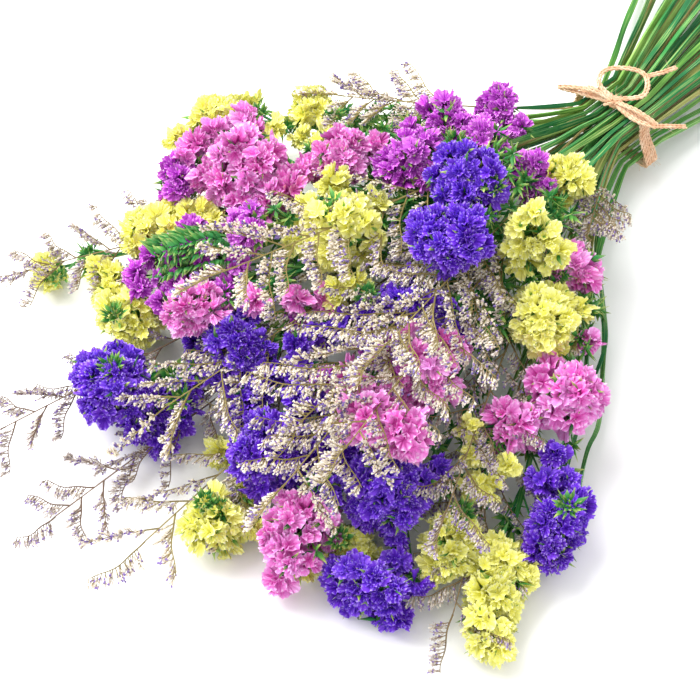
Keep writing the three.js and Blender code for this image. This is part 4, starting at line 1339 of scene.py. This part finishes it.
def make_paper(name, deep, body, pale, rim, faded):
    """Papery florets: painted shade deep in the throat and towards the root, a painted highlight at the
    ruffled rim, each cup its own shade.
    """
    finish = Finish(name)
    edge = finish.read("edge")
    tone = finish.read("tone")
    veins = finish.noise(PAPER_VEINS, detail=2.0)
    blotches = finish.noise(PAPER_BLOTCHES)
    at = finish.maths("ADD", edge, finish.scaled(veins, (0.3, 0.7), (-0.12, 0.12)))
    # Painted shade towards the root and in the throat, and a painted highlight at the rim, from what each
    # point reads.
    shade = finish.ramp(at, [(0.1, deep), (0.42, body), (0.8, pale), (1.0, rim)])
    patches = finish.scaled(blotches, (0.35, 0.65), (0.1, 0.75))
    aged = finish.maths("MULTIPLY", finish.scaled(tone, (0.35, 1.0)), patches)
    shade = finish.mix(aged, shade, faded)
    dark = finish.grey(finish.scaled(tone, (0.0, 0.3), (0.78, 1.0)))
    shade = finish.mix(1.0, shade, dark, "MULTIPLY")
    normal = finish.bump(veins, strength=0.35, distance=0.3 * MM)
    return finish.end(shade, normal, roughness=0.7, glow_through=0.12)


def make_greens():
    """Winged stems, twigs and bracts: green with pale streaks, some of them dried to straw."""
    finish = Finish("green_stems")
    tone, kind, edge = finish.read("tone"), finish.read("kind"), finish.read("edge")
    along = finish.read("along")
    greens = [(0.0, (24, 110, 58)), (0.35, (52, 146, 70)), (0.7, (112, 168, 66))]
    shade = finish.ramp(tone, [*greens, (0.95, (172, 156, 92))])
    across = zip("XYZ", (along, edge, tone), GREEN_STREAKS)
    feeds = {axis: finish.maths("MULTIPLY", value, scale) for axis, value, scale in across}
    where = finish.node("ShaderNodeCombineXYZ", feeds).outputs["Vector"]
    streaks = finish.noise(1.0, where=where)
    patches = finish.noise(GREEN_PATCHES)
    shade = finish.tint(shade, streaks, (0.52, 0.66), 0.7, (196, 216, 132))
    shade = finish.tint(shade, streaks, (0.48, 0.34), 0.75, (16, 82, 44))
    shade = finish.tint(shade, patches, (0.55, 0.75), 0.5, (92, 150, 64))
    bract = finish.ramp(edge, [(0.0, (44, 118, 52)), (0.5, (92, 158, 66)), (0.9, (196, 204, 116))])
    bract = finish.tint(bract, tone, (0.4, 1.0), 0.75, (20, 122, 66))
    shade = finish.tint(shade, kind, (0.6, 0.9), 1.0, bract)
    normal = finish.bump(streaks, strength=0.6, distance=0.4 * MM)
    return finish.end(shade, normal, roughness=0.5, glow_through=0.08)


def make_sea_lavender():
    """Cream florets with lilac hearts on thin tan twigs."""
    finish = Finish("sea_lavender")
    tone, kind, edge = finish.read("tone"), finish.read("kind"), finish.read("edge")
    grey = finish.read("along")
    twig = finish.mix(finish.noise(TWIG_PATCHES), (192, 172, 112), (142, 134, 78))
    twig = finish.tint(twig, edge, (0.2, 0.9), 0.85, (128, 102, 92))
    creams = [(0.35, (206, 188, 146)), (0.6, (246, 236, 214)), (0.9, (255, 251, 240))]
    floret = finish.ramp(edge, [(0.0, (120, 96, 54)), *creams])
    heart = finish.scaled(edge, (0.45, 0.6))
    lilac = finish.maths("MULTIPLY", heart, finish.scaled(tone, (0.74, 0.8), (0, 0.85)))
    floret = finish.mix(lilac, floret, (128, 92, 196))
    aged = finish.maths("MULTIPLY", grey, finish.scaled(tone, (0.0, 0.8), (0.8, 0.2)))
    floret = finish.mix(aged, floret, (150, 128, 136))
    shade = finish.tint(twig, kind, (0.5, 0.8), 1.0, floret)
    normal = finish.bump(finish.noise(FLORET_GRAIN), strength=0.3, distance=0.2 * MM)
    return finish.end(shade, normal, roughness=0.7, glow_through=0.3)


def make_jute():
    """Peach tan plies with darker fibres along them."""
    finish = Finish("jute_twine")
    fibres = finish.noise(JUTE_FIBRES, detail=4.0)
    patches = finish.noise(JUTE_PATCHES, detail=2.0)
    tans = [(0.3, (228, 180, 142)), (0.5, (242, 204, 170)), (0.7, (252, 226, 198))]
    shade = finish.ramp(patches, tans)
    shade = finish.mix(finish.scaled(fibres, (0.35, 0.6), (0.4, 0)), shade, (182, 130, 90))
    normal = finish.bump(fibres, strength=0.8, distance=0.3 * MM)
    return finish.end(shade, normal, roughness=0.85, glow_through=0.1)


def make_table():
    """A white surface with hardly any grain."""
    finish = Finish("pale_table")
    grain = finish.scaled(finish.noise(TABLE_GRAIN), (0.3, 0.7))
    shade = finish.mix(grain, (249, 249, 249), (252, 252, 252))
    return finish.end(shade, None, roughness=0.9, specular=0.1)


# Each paper's throat (painted shade), body, pale part, rim (painted highlight) and faded patches.
PAPER_COLOURS = {
    "violet": [(30, 2, 84), (92, 22, 190), (126, 62, 226), (206, 178, 255), (142, 92, 230)],
    "magenta": [(100, 8, 110), (180, 40, 194), (216, 98, 226), (254, 204, 252), (226, 140, 232)],
    "pink": [(186, 30, 140), (234, 94, 198), (248, 152, 228), (255, 228, 252), (244, 196, 244)],
    "yellow": [(238, 232, 84), (253, 249, 118), (255, 254, 158), (255, 255, 222), (251, 248, 158)],
}
PAPERS = {name: make_paper(name + "_florets", *seen) for name, seen in PAPER_COLOURS.items()}
GREENS = make_greens()
SEA_LAVENDER = make_sea_lavender()
JUTE = make_jute()


# The camera.
def stand_facing_bunch(name, data, right, away, up):
    """A camera or a light, so far right, away and up in the picture from its middle."""
    cos, sin = math.cos(CAMERA_TURN), math.sin(CAMERA_TURN)
    from_middle = right * np.array([cos, -sin, 0]) + away * np.array([sin, cos, 0]) + UP * up
    made = bpy.data.objects.new(name, data)
    bpy.context.collection.objects.link(made)
    made.location = TIE + CAMERA_AIM + from_middle
    made.rotation_euler = Vector(-from_middle).to_track_quat("-Z", "Y").to_euler()
    return made


def make_camera():
    """Looks down at the bunch as the photograph does."""
    data = bpy.data.cameras.new("camera")
    data.lens = CAMERA_LENS
    back = CAMERA_DISTANCE * math.cos(CAMERA_ELEVATION)
    up = CAMERA_DISTANCE * math.sin(CAMERA_ELEVATION)
    bpy.context.scene.camera = stand_facing_bunch("camera", data, 0, -back, up)


make_camera()

# The bunch. Edges sharper than these angles stay sharp.
SMOOTH_PAPER = math.radians(28)
SMOOTH_TWINE = math.radians(55)
SMOOTH_GREEN = math.radians(40)


def hand_over(heap, node, material, smooth):
    """Makes the heap a piece that stands for its solid."""
    made = heap.piece(node + "_grown", material, smooth)
    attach(made, "root")
    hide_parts(node)


def make_bunch():
    """Grows every stem, head, spray and the twine, and hands each over as a piece."""
    cuts = cut_lengths(len(HEADS) + len(HAZE))
    stalks, sprays = make_stalks(cuts), make_haze(cuts[len(HEADS):])
    place_in_tie([*stalks, *sprays])
    layers = {row: Heap() for row in LAYERS}
    flowers = {stalk.name: Heap() for stalk in stalks}
    for stalk in stalks:
        greens = layers[stalk.row]
        stand_stem(greens, stalk)
        stand_stem_tufts(greens, stalk)
        stand_head(flowers[stalk.name], greens, stalk)
    stand_clusters(stalks, flowers, layers)
    stand_stars(stalks, layers)
    stand_edge_branches(layers["low"])
    for stalk in stalks:
        hand_over(flowers[stalk.name], stalk.name, PAPERS[stalk.colour], SMOOTH_PAPER)
    for row, heap in layers.items():
        hand_over(heap, LAYERS[row], GREENS, SMOOTH_GREEN)
    for spray in sprays:
        heap = Heap()
        stand_spray(heap, spray)
        hand_over(heap, spray.name, SEA_LAVENDER, SMOOTH_PAPER)
    twine = Heap()
    stand_tie(twine)
    hand_over(twine, "twine_tie", JUTE, SMOOTH_TWINE)


make_bunch()

# The table and the light.
TABLE_SIZE = 6.0
KEY_PLACE = (-0.75, 0.55, 1.15)  # right, away and up in the picture, from its middle
KEY_SIZE = 1.3
KEY_POWER = 40.0
SKY_STRENGTH = 1.12


def make_table_top():
    """The white surface that the bunch lies on."""
    bpy.ops.object.select_all(action="DESELECT")
    bpy.ops.mesh.primitive_plane_add(size=TABLE_SIZE, location=(0, 0, 0))
    table = bpy.context.object
    table.name = "table_top"
    table.data.materials.append(make_table())


def make_light():
    """Soft light from a window at the upper left, and an even pale room."""
    data = bpy.data.lights.new("window", "AREA")
    data.energy = KEY_POWER
    data.size = KEY_SIZE
    stand_facing_bunch("window", data, *KEY_PLACE)
    world = bpy.data.worlds.new("room")
    world.use_nodes = True
    sky = world.node_tree.nodes["Background"].inputs
    sky["Color"].default_value = (1, 1, 1, 1)  # white
    sky["Strength"].default_value = SKY_STRENGTH
    bpy.context.scene.world = world
    bpy.context.scene.view_settings.view_transform = "Standard"


make_table_top()
make_light()
